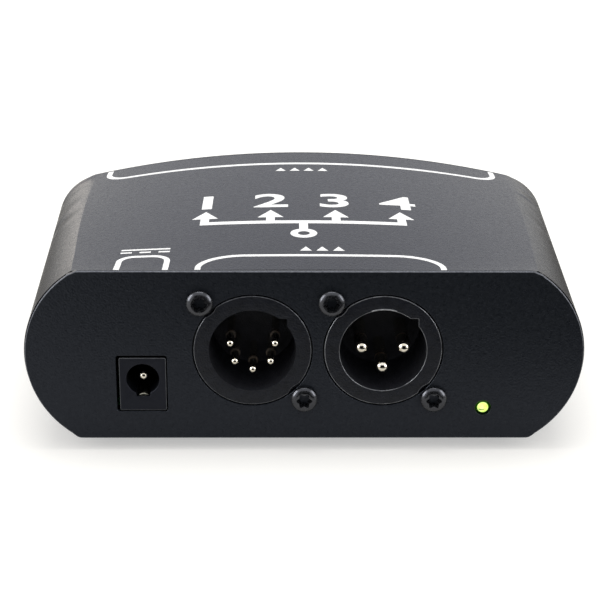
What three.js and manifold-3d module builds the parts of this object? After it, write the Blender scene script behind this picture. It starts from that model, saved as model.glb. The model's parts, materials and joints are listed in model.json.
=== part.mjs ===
// A four-way DMX splitter for stage lighting: a rolled and crowned steel case with one control input on two
// connectors at the front and four isolated outputs at the rear.
// Units are millimetres. +X is to the right seen from the front, +Y runs to the rear and +Z is up.
// The origin is at the bottom centre of the part, on the surface that its feet stand on.

import * as THREE from 'three';
import { mergeVertices } from 'three/addons/utils/BufferGeometryUtils.js';
import Module from 'manifold-3d';

const wasm = await Module();
wasm.setup();

// Clearances
const SEAT_GAP = 0.05;          // between pieces that rest on each other
const RUNNING_GAP = 0.3;        // round a piece that moves or drops into a cut-out
const OVERRUN = 1;              // how far a cutting tool runs past the faces that it cuts

// Fasteners: thread-forming screws with a domed six-lobe head
const SCREW_HEAD_RADIUS = 2.5;
const SCREW_HEAD_HEIGHT = 1.6;
const SCREW_SHANK_RADIUS = 1.4;
const SCREW_TIP = 1;            // how far a screw stands out past the pieces that it clamps
const LOBES = 6;
const LOBE_RADIUS = 1.5;
const LOBE_DEPTH = 0.9;
const LOBE_WAIST_SHARE = 0.72;
const DOME_TOP_SHARE = 0.62;
const DOME_RIM_SHARE = 0.4;

// Round panel receptacles: the collar that fills the panel's hole and the flange behind it
const COLLAR_RADIUS = 11.2;
const COLLAR_SPACING = 2.5;     // bare panel between two collars
const COLLAR_EDGE = 0.3;
const SCREW_SPACING = 0.3;      // from a screw's head to the collar's circle
const HEAD_RELIEF = 0.7;        // how far the collar is cut back from a screw's head
const FLANGE_THICKNESS = 3;
const FLANGE_RIM = 0.7;         // how far the flange reaches past the collar
const EAR_RADIUS = 2.6;
const SHELL_DEPTH = 17;
const BARREL_STEP = 0.6;        // how much slimmer the barrel is than the collar
const RECEPTACLE_PITCH = 2 * COLLAR_RADIUS + COLLAR_SPACING;
const SCREW_REACH = COLLAR_RADIUS + SCREW_HEAD_RADIUS + SCREW_SPACING;
const SCREW_OFFSET = SCREW_REACH / Math.SQRT2;

// Steel sheet of the case
const SHEET = 1.2;
const BASE_SHEET = 1.2;
const PLATE = 1;
const PLATE_EDGE = 0.3;         // bevel round the front and rear plates

// Case outline: straight top at the front, crowned top and wider sides at the rear
const PANEL_BORDER = 6.1;       // from a collar's height to the case's top and bottom
const REAR_MARGIN = 8.6;
const FLARE = 4.9;              // how much further each side stands out at the rear
const DEPTH = 80;
const ROLL_EXTRA = 2.9;         // the rolled side's radius over half the case's height
const CROWN_DROP = 5.5;         // fall of the top from its middle to its shoulder, at the rear
const SHOULDER_INSET = 9.6;     // from the side's outermost line to the shoulder, at the rear
const CROWN_GROWTH_SHARE = 0.65;
const LIP_WIDTH = 7;
const OUTPUTS = 4;
const HEIGHT = 2 * COLLAR_RADIUS + 2 * PANEL_BORDER;
const REAR_WIDTH = OUTPUTS * RECEPTACLE_PITCH + 2 * REAR_MARGIN;
const FRONT_WIDTH = REAR_WIDTH - 2 * FLARE;
const ROLL_RADIUS = HEIGHT / 2 + ROLL_EXTRA;
const TOP_Z = HEIGHT / 2;
const BOTTOM_Z = -HEIGHT / 2;

// Feet
const FOOT_RADIUS = 5;
const FOOT_HEIGHT = 2.5;
const FOOT_TAPER = 0.8;
const FOOT_INSET = 9.7;         // from the base plate's front corner to a foot's centre
const FOOT_SETBACK = 17;
const BASE_SCREW_SETBACK = 7;

// Circuit board on the base plate's bosses
const BOSS_HEIGHT = 3;
const BOSS_RADIUS = 3;
const BOSS_INSET = 11;
const BOSS_SETBACK = 12;
const BOARD_THICKNESS = 1.6;
const BOARD_CLEARANCE = 1.8;
const BOARD_SETBACK = 2.2;      // from the receptacles' flanges to the board's edge
const BOARD_CORNER = 2;
const BASE_TOP_Z = BOTTOM_Z + BASE_SHEET;
const BOARD_BOTTOM_Z = BASE_TOP_Z + BOSS_HEIGHT + SEAT_GAP;
const BOARD_TOP_Z = BOARD_BOTTOM_Z + BOARD_THICKNESS;
const BOARD_EDGE = DEPTH / 2 - PLATE - FLANGE_THICKNESS - BOARD_SETBACK;

// Male input receptacles
const INPUT_AXIS_RISE = 12.6;   // above the board
const INPUT_PAIR_X = 2.5;
const CUP_WALL = 2.9;
const CUP_DEPTH = 13.5;
const CUP_EDGE = 0.4;
const PIN_SETBACK = 0.8;        // from the collar's face to the pins' tips
const PIN_ROOT = 2.2;
const KEYWAY_DEPTH = 1.05;      // from the cup's circle to the keyway's square corner
const CATCH_WIDTH = 5.4;
const CATCH_RISE = 0.5;
const CATCH_SETBACK = 0.8;
const CATCH_LENGTH = 8;
const FOOT_BLOCK_WIDTH = 14;
const THREE_PIN_RADIUS = 1.2;
const THREE_PIN_CIRCLE = 4.06;
const THREE_PIN_STEP_SHARE = 1 / 4;
const FIVE_PIN_RADIUS = 0.85;
const FIVE_PIN_CIRCLE = 4.42;
const FIVE_PIN_STEP_SHARE = 1 / 7;
const CUP_RADIUS = COLLAR_RADIUS - CUP_WALL;
const INPUT_AXIS_Z = BOARD_TOP_Z + INPUT_AXIS_RISE;

// Female output receptacles
const BORE_WALL = 1.6;
const BORE_DEPTH = 12;
const BORE_EDGE = 0.3;
const INSERT_GAP = 1.7;         // between the bore and the insert, where the plug's barrel goes
const INSERT_SETBACK = 0.6;
const INSERT_EDGE = 0.4;
const CONTACT_RADIUS = 1;
const CONTACT_DEPTH = 8;
const KEY_WIDTH = 1.6;
const KEY_RISE = 0.6;
const KEY_TURN = THREE.MathUtils.degToRad(-135);
const LATCH_HALF_SPREAD = THREE.MathUtils.degToRad(20);
const LATCH_PROUD = 1.6;
const LATCH_TRAVEL = 1.5;
const LATCH_LENGTH = 12;
const LATCH_INNER_GAP = 0.15;
const HOOK_SETBACK = 4.5;
const HOOK_LENGTH = 1.6;
const HOOK_DROP = 0.7;
const BORE_RADIUS = COLLAR_RADIUS - BORE_WALL;
const INSERT_RADIUS = BORE_RADIUS - INSERT_GAP;

// Power jack
const JACK_WIDTH = 9;
const JACK_HEIGHT = 11;
const JACK_DEPTH = 14;
const JACK_SETBACK = 0.5;
const JACK_CORNER = 0.6;
const JACK_SPACING = 21.05;     // from the first input's axis
const JACK_BORE_RADIUS = 3.15;
const JACK_BORE_DEPTH = 10;
const JACK_BORE_RISE = 1.05;    // above the middle of the jack's face
const JACK_PIN_RADIUS = 1.05;
const JACK_PIN_SETBACK = 1.1;
const JACK_PIN_ROOT = 2.5;
const JACK_LEAF_WIDTH = 2;
const JACK_LEAF_THICKNESS = 0.3;
const JACK_LEAF_BOW = 0.75;
const JACK_LEAF_SETBACK = 2.4;

// Status light
const LED_RADIUS = 1.45;
const LED_RIM = 0.35;
const LED_RIM_THICKNESS = 1;
const LED_LENGTH = 5;
const LED_RISE = 0.6;           // its axis above the board's top
const LED_SPACING = 19.55;      // from the second input's axis

// Parts on the board
const CONVERTER_WIDTH = 11.5;
const CONVERTER_DEPTH = 6;
const CONVERTER_HEIGHT = 10;
const CONVERTER_SETBACK = 6;    // behind the outputs' barrels
const DRIVER_WIDTH = 7.5;
const DRIVER_DEPTH = 10.3;
const DRIVER_HEIGHT = 2.3;
const DRIVER_DRAFT = 0.4;
const DRIVER_SETBACK = 5;
const CAPACITOR_RADIUS = 4;
const CAPACITOR_HEIGHT = 11.5;
const CAPACITOR_EDGE = 0.5;
const CAPACITOR_SETBACK = 7;    // behind the jack

// Facets
const COLLAR_SEGMENTS = 26;
const JACK_SEGMENTS = 18;
const SMALL_SEGMENTS = 10;
const PIN_SEGMENTS = 8;
const ROLL_STEPS = 8;
const CROWN_STEPS = 14;
const LOFT_STEPS = 5;
const SECTOR_STEPS = 5;
const CORNER_STEPS = 2;

// Section of the case at a depth share from 0 at the front to 1 at the rear
function crownFall(x, share) {
  const shoulder = REAR_WIDTH / 2 - SHOULDER_INSET;
  return CROWN_DROP * (x / shoulder) ** 2 * share ** CROWN_GROWTH_SHARE;
}

function rollCentre(share) {
  return FRONT_WIDTH / 2 + FLARE * share - ROLL_RADIUS;
}

function baseCorner(share, z = BOTTOM_Z) {
  return rollCentre(share) + Math.sqrt(ROLL_RADIUS ** 2 - z ** 2);
}

function shoulderPoint(share) {
  const front = baseCorner(0, TOP_Z);
  const rear = REAR_WIDTH / 2 - SHOULDER_INSET;
  const x = front + (rear - front) * Math.sin(share * Math.PI / 2);
  return new THREE.Vector2(x, TOP_Z - crownFall(x, share));
}

// Points of an arc about a centre, from one point to another, turning clockwise
function arcPoints(centre, from, to, steps) {
  const start = Math.atan2(from.y - centre.y, from.x - centre.x);
  const end = Math.atan2(to.y - centre.y, to.x - centre.x);
  const radius = from.distanceTo(centre);
  return Array.from({ length: steps + 1 }, (_, i) => {
    const angle = start + (end - start) * i / steps;
    return new THREE.Vector2(centre.x + radius * Math.cos(angle), centre.y + radius * Math.sin(angle));
  });
}

// Right half of the section, from the middle of the top round the side to the height where it ends
function halfSection(share, endZ) {
  const shoulder = shoulderPoint(share);
  const tip = new THREE.Vector2(FRONT_WIDTH / 2 + FLARE * share, 0);
  const reach = (shoulder.x ** 2 + shoulder.y ** 2 - tip.x ** 2) / (2 * (shoulder.x - tip.x));
  const half = CROWN_STEPS / 2;
  const crown = Array.from({ length: half }, (_, i) => {
    const x = shoulder.x * i / half;
    return new THREE.Vector2(x, TOP_Z - crownFall(x, share));
  });
  const upper = arcPoints(new THREE.Vector2(reach, 0), shoulder, tip, ROLL_STEPS);
  const end = new THREE.Vector2(baseCorner(share, endZ), endZ);
  const lower = arcPoints(new THREE.Vector2(rollCentre(share), 0), tip, end, ROLL_STEPS);
  return [...crown, ...upper, ...lower.slice(1)];
}

function bothSides(half) {
  const left = half.slice(1).map((p) => new THREE.Vector2(-p.x, p.y));
  return [...left.reverse(), ...half];
}

// Each point of an open line moved square to the line, to its right, by a distance
function offsetLine(points, distance) {
  return points.map((point, i) => {
    const before = point.clone().sub(points[Math.max(i - 1, 0)]).normalize();
    const after = points[Math.min(i + 1, points.length - 1)].clone().sub(point).normalize();
    const first = before.lengthSq() > 0 ? before : after;
    const second = after.lengthSq() > 0 ? after : before;
    const direction = first.clone().add(second).normalize();
    const stretch = distance / direction.dot(first);
    return new THREE.Vector2(point.x + direction.y * stretch, point.y - direction.x * stretch);
  });
}

// Manifold solids from three.js geometries, and back
function toSolid(geometry) {
  const bare = geometry.clone();
  bare.deleteAttribute('normal');
  bare.deleteAttribute('uv');
  const merged = mergeVertices(bare);
  const vertProperties = Float32Array.from(merged.attributes.position.array);
  let triVerts = Uint32Array.from(merged.index.array);
  if (signedVolume(vertProperties, triVerts) < 0) {
    triVerts = triVerts.reverse();
  }
  return new wasm.Manifold(new wasm.Mesh({ numProp: 3, vertProperties, triVerts }));
}

function signedVolume(points, triangles) {
  const corner = (i) => new THREE.Vector3().fromArray(points, 3 * triangles[i]);
  let sum = 0;
  for (let i = 0; i < triangles.length; i += 3) {
    sum += corner(i).dot(corner(i + 1).cross(corner(i + 2)));
  }
  return sum;
}

function toGeometry(solid) {
  const mesh = solid.getMesh();
  const geometry = new THREE.BufferGeometry();
  geometry.setAttribute('position', new THREE.BufferAttribute(mesh.vertProperties, mesh.numProp));
  geometry.setIndex(new THREE.BufferAttribute(mesh.triVerts, 1));
  geometry.computeVertexNormals();
  return geometry;
}

function join(first, ...others) {
  return others.reduce((whole, piece) => whole.add(piece), first);
}

function cut(body, ...tools) {
  return tools.reduce((whole, tool) => whole.subtract(tool), body);
}

// A profile of radius and length turned about the Y axis
function turned(profile, segments) {
  const points = profile.map(([radius, length]) => new THREE.Vector2(radius, length));
  const geometry = new THREE.LatheGeometry(points, segments);
  return geometry.rotateY(Math.PI / segments);
}

// A barrel lies along Y, the depth behind a panel's face, and a post stands along Z
function barrel(profile, segments, x = 0, z = 0) {
  return toSolid(turned(profile, segments).translate(x, 0, z));
}

function post(profile, segments, x = 0, y = 0) {
  return toSolid(turned(profile, segments).rotateX(Math.PI / 2).translate(x, y, 0));
}

function rodProfile(radius, from, to) {
  return [[0, from], [radius, from], [radius, to], [0, to]];
}

function rod(radius, from, to, segments, x = 0, z = 0) {
  return barrel(rodProfile(radius, from, to), segments, x, z);
}

function block(x0, x1, y0, y1, z0, z1, turn = 0) {
  const box = new THREE.BoxGeometry(x1 - x0, y1 - y0, z1 - z0);
  box.translate((x0 + x1) / 2, (y0 + y1) / 2, (z0 + z1) / 2);
  return toSolid(box.rotateY(turn));
}

// A shape drawn in X and Z, thickened along the depth
function alongDepth(shape, from, to, bevel = 0, curveSegments = CORNER_STEPS) {
  const geometry = new THREE.ExtrudeGeometry(shape, {
    depth: to - from - 2 * bevel,
    bevelEnabled: bevel > 0,
    bevelThickness: bevel,
    bevelSize: bevel,
    bevelOffset: -bevel,
    bevelSegments: 1,
    curveSegments,
    steps: 1,
  });
  geometry.rotateX(Math.PI / 2);
  geometry.translate(0, to - bevel, 0);
  return toSolid(geometry);
}

// A shape drawn in X and Y, thickened upwards
function upwards(shape, from, to) {
  const geometry = new THREE.ExtrudeGeometry(shape, {
    depth: to - from,
    bevelEnabled: false,
    curveSegments: CORNER_STEPS,
    steps: 1,
  });
  geometry.translate(0, 0, from);
  return toSolid(geometry);
}

function roundedRectangle(width, height, corner, middleX = 0, middleY = 0) {
  const shape = new THREE.Shape();
  const left = middleX - width / 2 + corner;
  const right = middleX + width / 2 - corner;
  const low = middleY - height / 2 + corner;
  const high = middleY + height / 2 - corner;
  shape.moveTo(right, low - corner);
  shape.absarc(right, low, corner, -Math.PI / 2, 0);
  shape.absarc(right, high, corner, 0, Math.PI / 2);
  shape.absarc(left, high, corner, Math.PI / 2, Math.PI);
  shape.absarc(left, low, corner, Math.PI, 3 * Math.PI / 2);
  return shape;
}

// A band between two radii about the straight-up direction, in X and Z
function ringSector(inner, outer, halfSpread, from, to) {
  const shape = new THREE.Shape();
  const top = Math.PI / 2;
  shape.absarc(0, 0, outer, top - halfSpread, top + halfSpread);
  shape.absarc(0, 0, inner, top + halfSpread, top - halfSpread, true);
  return alongDepth(shape, from, to, 0, SECTOR_STEPS);
}

// Materials
function finish(color, roughness, metalness = 0) {
  return new THREE.MeshStandardMaterial({ color, roughness, metalness });
}

const splitter = new THREE.Group();
const caseGroup = new THREE.Group();
caseGroup.position.set(0, (SCREW_HEAD_HEIGHT - LATCH_PROUD) / 2, FOOT_HEIGHT + SEAT_GAP - BOTTOM_Z);
splitter.add(caseGroup);

function addPiece(group, name, solid, material) {
  const mesh = new THREE.Mesh(toGeometry(solid), material);
  mesh.name = name;
  group.add(mesh);
  return mesh;
}

// The top cover: one sheet rolled down both sides, with a lip turned in along each bottom edge.
// Its section is lofted from behind the front plate to before the rear plate.
function coverRing(share) {
  const lipZ = BASE_TOP_Z + SEAT_GAP;
  const half = halfSection(share, lipZ);
  const outer = bothSides([...half, new THREE.Vector2(baseCorner(share) - LIP_WIDTH, lipZ)]);
  const inner = offsetLine(outer, SHEET);
  return [...outer, ...inner.reverse()];
}

function loft(rings, depths) {
  const count = rings[0].length;
  const positions = rings.flatMap((ring, i) => ring.flatMap((p) => [p.x, depths[i], p.y]));
  const faces = [];
  for (let row = 0; row + 1 < rings.length; row += 1) {
    for (let i = 0; i < count; i += 1) {
      const a = row * count + i;
      const b = row * count + (i + 1) % count;
      faces.push(a, b, a + count, b, b + count, a + count);
    }
  }
  const last = (rings.length - 1) * count;
  for (let i = 0; i + 1 < count / 2; i += 1) {
    const a = i;
    const b = i + 1;
    const c = count - 1 - i;
    const d = count - 2 - i;
    faces.push(a, c, b, b, c, d);
    faces.push(last + a, last + b, last + c, last + b, last + d, last + c);
  }
  const geometry = new THREE.BufferGeometry();
  geometry.setAttribute('position', new THREE.Float32BufferAttribute(positions, 3));
  geometry.setIndex(faces);
  return toSolid(geometry);
}

const COVER_FROM = PLATE + SEAT_GAP;
const COVER_TO = DEPTH - PLATE - SEAT_GAP;
const COVER_DEPTHS = Array.from({ length: LOFT_STEPS + 1 }, (_, i) => {
  return COVER_FROM + (COVER_TO - COVER_FROM) * i / LOFT_STEPS;
});

function baseScrewPlaces() {
  return [BASE_SCREW_SETBACK, DEPTH - BASE_SCREW_SETBACK].flatMap((depth) => {
    const x = baseCorner(depth / DEPTH) - LIP_WIDTH / 2;
    return [[-x, depth - DEPTH / 2], [x, depth - DEPTH / 2]];
  });
}

function uprightHoles(places, radius, from, to) {
  return places.map(([x, y]) => post(rodProfile(radius, from, to), SMALL_SEGMENTS, x, y));
}

const rings = COVER_DEPTHS.map((depth) => coverRing(depth / DEPTH));
const coverHoles = uprightHoles(baseScrewPlaces(), SCREW_SHANK_RADIUS + SEAT_GAP, BOTTOM_Z, BOARD_BOTTOM_Z);
const powderCoat = finish(0x2a2b2e, 0.55);
addPiece(caseGroup, 'top_cover', cut(loft(rings, COVER_DEPTHS.map((d) => d - DEPTH / 2)), ...coverHoles),
  powderCoat);

// The base plate: a flat sheet that closes the bottom between the lips' corners, with four pressed bosses
// that carry the circuit board
function basePlate() {
  const front = COVER_FROM - DEPTH / 2;
  const rear = COVER_TO - DEPTH / 2;
  const frontHalf = baseCorner(COVER_FROM / DEPTH);
  const rearHalf = baseCorner(COVER_TO / DEPTH);
  const shape = new THREE.Shape([
    new THREE.Vector2(-frontHalf, front),
    new THREE.Vector2(frontHalf, front),
    new THREE.Vector2(rearHalf, rear),
    new THREE.Vector2(-rearHalf, rear),
  ]);
  const sheet = upwards(shape, BOTTOM_Z, BASE_TOP_Z);
  const bossX = baseCorner(0) - BOSS_INSET;
  const bossY = DEPTH / 2 - BOSS_SETBACK;
  const places = [[-bossX, -bossY], [bossX, -bossY], [bossX, bossY], [-bossX, bossY]];
  const bosses = uprightHoles(places, BOSS_RADIUS, BOTTOM_Z + BASE_SHEET / 2, BASE_TOP_Z + BOSS_HEIGHT);
  const radius = SCREW_SHANK_RADIUS + SEAT_GAP;
  const holes = uprightHoles(baseScrewPlaces(), radius, BOTTOM_Z - OVERRUN, BOARD_BOTTOM_Z);
  return cut(join(sheet, ...bosses), ...holes);
}

addPiece(caseGroup, 'base_plate', basePlate(), powderCoat);

// Receptacle places: the axis in X and Z, seen from the front for the inputs and from the rear for the
// outputs
const INPUT_XS = [INPUT_PAIR_X - RECEPTACLE_PITCH / 2, INPUT_PAIR_X + RECEPTACLE_PITCH / 2];
const OUTPUT_XS = Array.from({ length: OUTPUTS }, (_, i) => RECEPTACLE_PITCH * (i - (OUTPUTS - 1) / 2));
const OUTPUT_AXIS_Z = shoulderPoint(1).y - SHEET - EAR_RADIUS - RUNNING_GAP - SCREW_OFFSET;
const SCREW_CORNERS = [[-SCREW_OFFSET, SCREW_OFFSET], [SCREW_OFFSET, -SCREW_OFFSET]];
const JACK_X = INPUT_XS[0] - JACK_SPACING;
const JACK_Z = BOARD_TOP_Z + SEAT_GAP + JACK_HEIGHT / 2;
const LED_X = INPUT_XS[1] + LED_SPACING;
const LED_Z = BOARD_TOP_Z + LED_RISE;

// The front and rear plates: sawn to the case's outline at their end, with a hole for each collar and screw
function endPlate(share, axes) {
  const half = halfSection(share, BOTTOM_Z);
  const plate = alongDepth(new THREE.Shape(bothSides(half)), 0, PLATE, PLATE_EDGE);
  const through = (radius, segments, x, z) => rod(radius, -OVERRUN, PLATE + OVERRUN, segments, x, z);
  const shankHole = SCREW_SHANK_RADIUS + SEAT_GAP;
  const holes = axes.flatMap(([x, z]) => [
    through(COLLAR_RADIUS + RUNNING_GAP, COLLAR_SEGMENTS, x, z),
    ...SCREW_CORNERS.map(([dx, dz]) => through(shankHole, SMALL_SEGMENTS, x + dx, z + dz)),
  ]);
  return cut(plate, ...holes);
}

function frontPlate() {
  const plate = endPlate(0, INPUT_XS.map((x) => [x, INPUT_AXIS_Z]));
  const width = JACK_WIDTH + 2 * RUNNING_GAP;
  const height = JACK_HEIGHT + 2 * RUNNING_GAP;
  const window = roundedRectangle(width, height, JACK_CORNER, JACK_X, JACK_Z);
  const jackHole = alongDepth(window, -OVERRUN, PLATE + OVERRUN);
  const lightHole = rod(LED_RADIUS + SEAT_GAP, -OVERRUN, PLATE + OVERRUN, SMALL_SEGMENTS, LED_X, LED_Z);
  return cut(plate, jackHole, lightHole);
}

const front = new THREE.Group();
front.position.y = -DEPTH / 2;
caseGroup.add(front);
const rear = new THREE.Group();
rear.position.y = DEPTH / 2;
rear.rotation.z = Math.PI;
caseGroup.add(rear);
const plateCoat = finish(0x1c1f24, 0.5);
addPiece(front, 'front_plate', frontPlate(), plateCoat);
addPiece(rear, 'rear_plate', endPlate(1, OUTPUT_XS.map((x) => [x, OUTPUT_AXIS_Z])), plateCoat);

// A receptacle's shell: collar, eared flange and barrel turned in one, round a hollow of its own
function shell(hollow, boardZ) {
  const flange = PLATE + SEAT_GAP;
  const back = PLATE + FLANGE_THICKNESS;
  const slim = COLLAR_RADIUS - BARREL_STEP;
  const body = barrel([
    ...hollow,
    [COLLAR_RADIUS - COLLAR_EDGE, 0],
    [COLLAR_RADIUS, COLLAR_EDGE],
    [COLLAR_RADIUS, flange],
    [COLLAR_RADIUS + FLANGE_RIM, flange],
    [COLLAR_RADIUS + FLANGE_RIM, back],
    [slim, back],
    [slim, SHELL_DEPTH],
    [0, SHELL_DEPTH],
  ], COLLAR_SEGMENTS);
  const ears = SCREW_CORNERS.map(([x, z]) => rod(EAR_RADIUS, flange, back, SMALL_SEGMENTS, x, z));
  const footing = FOOT_BLOCK_WIDTH / 2;
  const footFront = back + BOARD_SETBACK + RUNNING_GAP;
  const boardFront = back + BOARD_SETBACK - RUNNING_GAP;
  const foot = block(-footing, footing, footFront, SHELL_DEPTH, boardZ + SEAT_GAP, -slim / 2);
  const corridor = hollow[1][0] + OVERRUN / 2;
  const solidFoot = cut(foot, rod(corridor, -OVERRUN, hollow[0][1], COLLAR_SEGMENTS));
  const sunk = SHELL_DEPTH + OVERRUN;
  const under = -2 * COLLAR_RADIUS;
  const underBoard = block(-COLLAR_RADIUS, COLLAR_RADIUS, boardFront, sunk, under, boardZ + SEAT_GAP);
  const reliefs = SCREW_CORNERS.map(([x, z]) => {
    return rod(SCREW_HEAD_RADIUS + HEAD_RELIEF, -OVERRUN, PLATE, JACK_SEGMENTS, x, z);
  });
  const holes = SCREW_CORNERS.map(([x, z]) => {
    return rod(SCREW_SHANK_RADIUS + SEAT_GAP, 0, back + OVERRUN, SMALL_SEGMENTS, x, z);
  });
  return cut(join(body, ...ears, solidFoot), underBoard, ...reliefs, ...holes);
}

// Directions of a receptacle's contacts, equally stepped round the circle and even about straight down
function contactPlaces({ count, circle, stepShare }) {
  return Array.from({ length: count }, (_, i) => {
    const angle = -Math.PI / 2 + (i - (count - 1) / 2) * stepShare * 2 * Math.PI;
    return [circle * Math.cos(angle), circle * Math.sin(angle)];
  });
}

// Male shell: an open cup with a square keyway at the upper right and a catch for the plug's latch at the top
function inputShell(places, pinRadius) {
  const mouth = CUP_RADIUS + CUP_EDGE;
  const hollow = [[0, CUP_DEPTH], [CUP_RADIUS, CUP_DEPTH], [CUP_RADIUS, CUP_EDGE], [mouth, 0]];
  const body = shell(hollow, BOARD_TOP_Z - INPUT_AXIS_Z);
  const corner = (CUP_RADIUS + KEYWAY_DEPTH) / Math.SQRT2;
  const keyway = block(0, corner, -OVERRUN, CUP_DEPTH, 0, corner);
  const catchEnd = CATCH_SETBACK + CATCH_LENGTH;
  const side = CATCH_WIDTH / 2;
  const catchCut = block(-side, side, CATCH_SETBACK, catchEnd, 0, CUP_RADIUS + CATCH_RISE);
  const root = CUP_DEPTH + PIN_ROOT + SEAT_GAP;
  const sockets = places.map(([x, z]) => {
    return rod(pinRadius + SEAT_GAP, CUP_DEPTH - OVERRUN, root, PIN_SEGMENTS, x, z);
  });
  return cut(body, keyway, catchCut, ...sockets);
}

function inputPin(radius, x, z) {
  const dome = radius / 2;
  return barrel([
    [0, PIN_SETBACK],
    [radius / 2, PIN_SETBACK],
    [radius * Math.sqrt(3) / 2, PIN_SETBACK + dome / 2],
    [radius, PIN_SETBACK + dome + radius / 2],
    [radius, CUP_DEPTH + PIN_ROOT],
    [0, CUP_DEPTH + PIN_ROOT],
  ], PIN_SEGMENTS, x, z);
}

const zincBlack = finish(0x232427, 0.45, 0.2);
const silver = finish(0xd9d6cc, 0.25, 1);
const INPUTS = [{
  name: 'input_5pin',
  count: 5,
  circle: FIVE_PIN_CIRCLE,
  stepShare: FIVE_PIN_STEP_SHARE,
  radius: FIVE_PIN_RADIUS,
}, {
  name: 'input_3pin',
  count: 3,
  circle: THREE_PIN_CIRCLE,
  stepShare: THREE_PIN_STEP_SHARE,
  radius: THREE_PIN_RADIUS,
}];
INPUTS.forEach((input, i) => {
  const places = contactPlaces(input);
  const socket = new THREE.Group();
  socket.position.set(INPUT_XS[i], 0, INPUT_AXIS_Z);
  front.add(socket);
  addPiece(socket, `${input.name}_shell`, inputShell(places, input.radius), zincBlack);
  places.forEach(([x, z], n) => {
    addPiece(socket, `${input.name}_pin_${n + 1}`, inputPin(input.radius, x, z), silver);
  });
});

// Female shell: a round bore with a notch at the top that the latch slides in
function outputShell() {
  const hollow = [[0, BORE_DEPTH], [BORE_RADIUS, BORE_DEPTH], [BORE_RADIUS, BORE_EDGE],
    [BORE_RADIUS + BORE_EDGE, 0]];
  const body = shell(hollow, BOARD_TOP_Z - OUTPUT_AXIS_Z);
  const spread = LATCH_HALF_SPREAD + RUNNING_GAP / COLLAR_RADIUS;
  const slotEnd = LATCH_LENGTH + LATCH_TRAVEL + RUNNING_GAP;
  const outer = COLLAR_RADIUS + FLANGE_RIM + OVERRUN;
  const floor = BORE_RADIUS - LATCH_INNER_GAP;
  return cut(body, ringSector(floor, outer, spread, -OVERRUN, slotEnd));
}

// Insulator of a female receptacle, with a contact hole for each pin and the key that fits the keyway
function outputInsert(places) {
  const end = BORE_DEPTH - SEAT_GAP;
  const core = barrel([
    [0, INSERT_SETBACK],
    [INSERT_RADIUS - INSERT_EDGE, INSERT_SETBACK],
    [INSERT_RADIUS, INSERT_SETBACK + INSERT_EDGE],
    [INSERT_RADIUS, end],
    [0, end],
  ], COLLAR_SEGMENTS);
  const half = KEY_WIDTH / 2;
  const keyFront = INSERT_SETBACK + INSERT_EDGE;
  const key = block(0, INSERT_RADIUS + KEY_RISE, keyFront, end, -half, half, KEY_TURN);
  const holes = places.map(([x, z]) => {
    return rod(CONTACT_RADIUS, -OVERRUN, INSERT_SETBACK + CONTACT_DEPTH, PIN_SEGMENTS, x, z);
  });
  return cut(join(core, key), ...holes);
}

// Latch of a female receptacle: a curved thumb tab with a hook that drops into the plug's catch
function outputLatch() {
  const outer = COLLAR_RADIUS - LATCH_INNER_GAP;
  const tab = ringSector(BORE_RADIUS + LATCH_INNER_GAP, outer, LATCH_HALF_SPREAD, -LATCH_PROUD, LATCH_LENGTH);
  const hookFrom = BORE_RADIUS + LATCH_INNER_GAP - HOOK_DROP;
  const middle = (BORE_RADIUS + COLLAR_RADIUS) / 2;
  const hook = ringSector(hookFrom, middle, LATCH_HALF_SPREAD / 2, HOOK_SETBACK, HOOK_SETBACK + HOOK_LENGTH);
  return join(tab, hook);
}

const insulator = finish(0x17181a, 0.6);
const latchPlastic = finish(0x26272a, 0.5);
const [fivePin] = INPUTS;
const outputShellSolid = outputShell();
const outputInsertSolid = outputInsert(contactPlaces(fivePin));
const outputLatchSolid = outputLatch();
OUTPUT_XS.forEach((x, i) => {
  const socket = new THREE.Group();
  socket.position.set(x, 0, OUTPUT_AXIS_Z);
  rear.add(socket);
  addPiece(socket, `output_${i + 1}_shell`, outputShellSolid, zincBlack);
  addPiece(socket, `output_${i + 1}_insert`, outputInsertSolid, insulator);
  addPiece(socket, `output_${i + 1}_latch`, outputLatchSolid, latchPlastic);
});

// Screws: a domed head with a six-lobe recess and a plain shank in place of the thread
function lobes() {
  const points = Array.from({ length: 2 * LOBES }, (_, i) => {
    const radius = i % 2 ? LOBE_RADIUS * LOBE_WAIST_SHARE : LOBE_RADIUS;
    const angle = i * Math.PI / LOBES;
    return new THREE.Vector2(radius * Math.cos(angle), radius * Math.sin(angle));
  });
  return alongDepth(new THREE.Shape(points), -SCREW_HEAD_HEIGHT - OVERRUN, LOBE_DEPTH - SCREW_HEAD_HEIGHT);
}

function screw(length) {
  const head = barrel([
    [0, -SCREW_HEAD_HEIGHT],
    [SCREW_HEAD_RADIUS * DOME_TOP_SHARE, -SCREW_HEAD_HEIGHT],
    [SCREW_HEAD_RADIUS, -SCREW_HEAD_HEIGHT * DOME_RIM_SHARE],
    [SCREW_HEAD_RADIUS, -SEAT_GAP],
    [0, -SEAT_GAP],
  ], SMALL_SEGMENTS);
  const shank = rod(SCREW_SHANK_RADIUS, -SCREW_HEAD_HEIGHT / 3, length, SMALL_SEGMENTS);
  return cut(join(head, shank), lobes());
}

const blackScrew = finish(0x1b1c1e, 0.35, 0.7);
const panelScrew = screw(PLATE + FLANGE_THICKNESS + SCREW_TIP);
function addScrews(group, name, axes) {
  axes.forEach(([x, z], i) => {
    SCREW_CORNERS.forEach(([dx, dz], n) => {
      const piece = addPiece(group, `${name}_${2 * i + n + 1}`, panelScrew, blackScrew);
      piece.position.set(x + dx, 0, z + dz);
    });
  });
}

addScrews(front, 'front_screw', INPUT_XS.map((x) => [x, INPUT_AXIS_Z]));
addScrews(rear, 'rear_screw', OUTPUT_XS.map((x) => [x, OUTPUT_AXIS_Z]));

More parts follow.
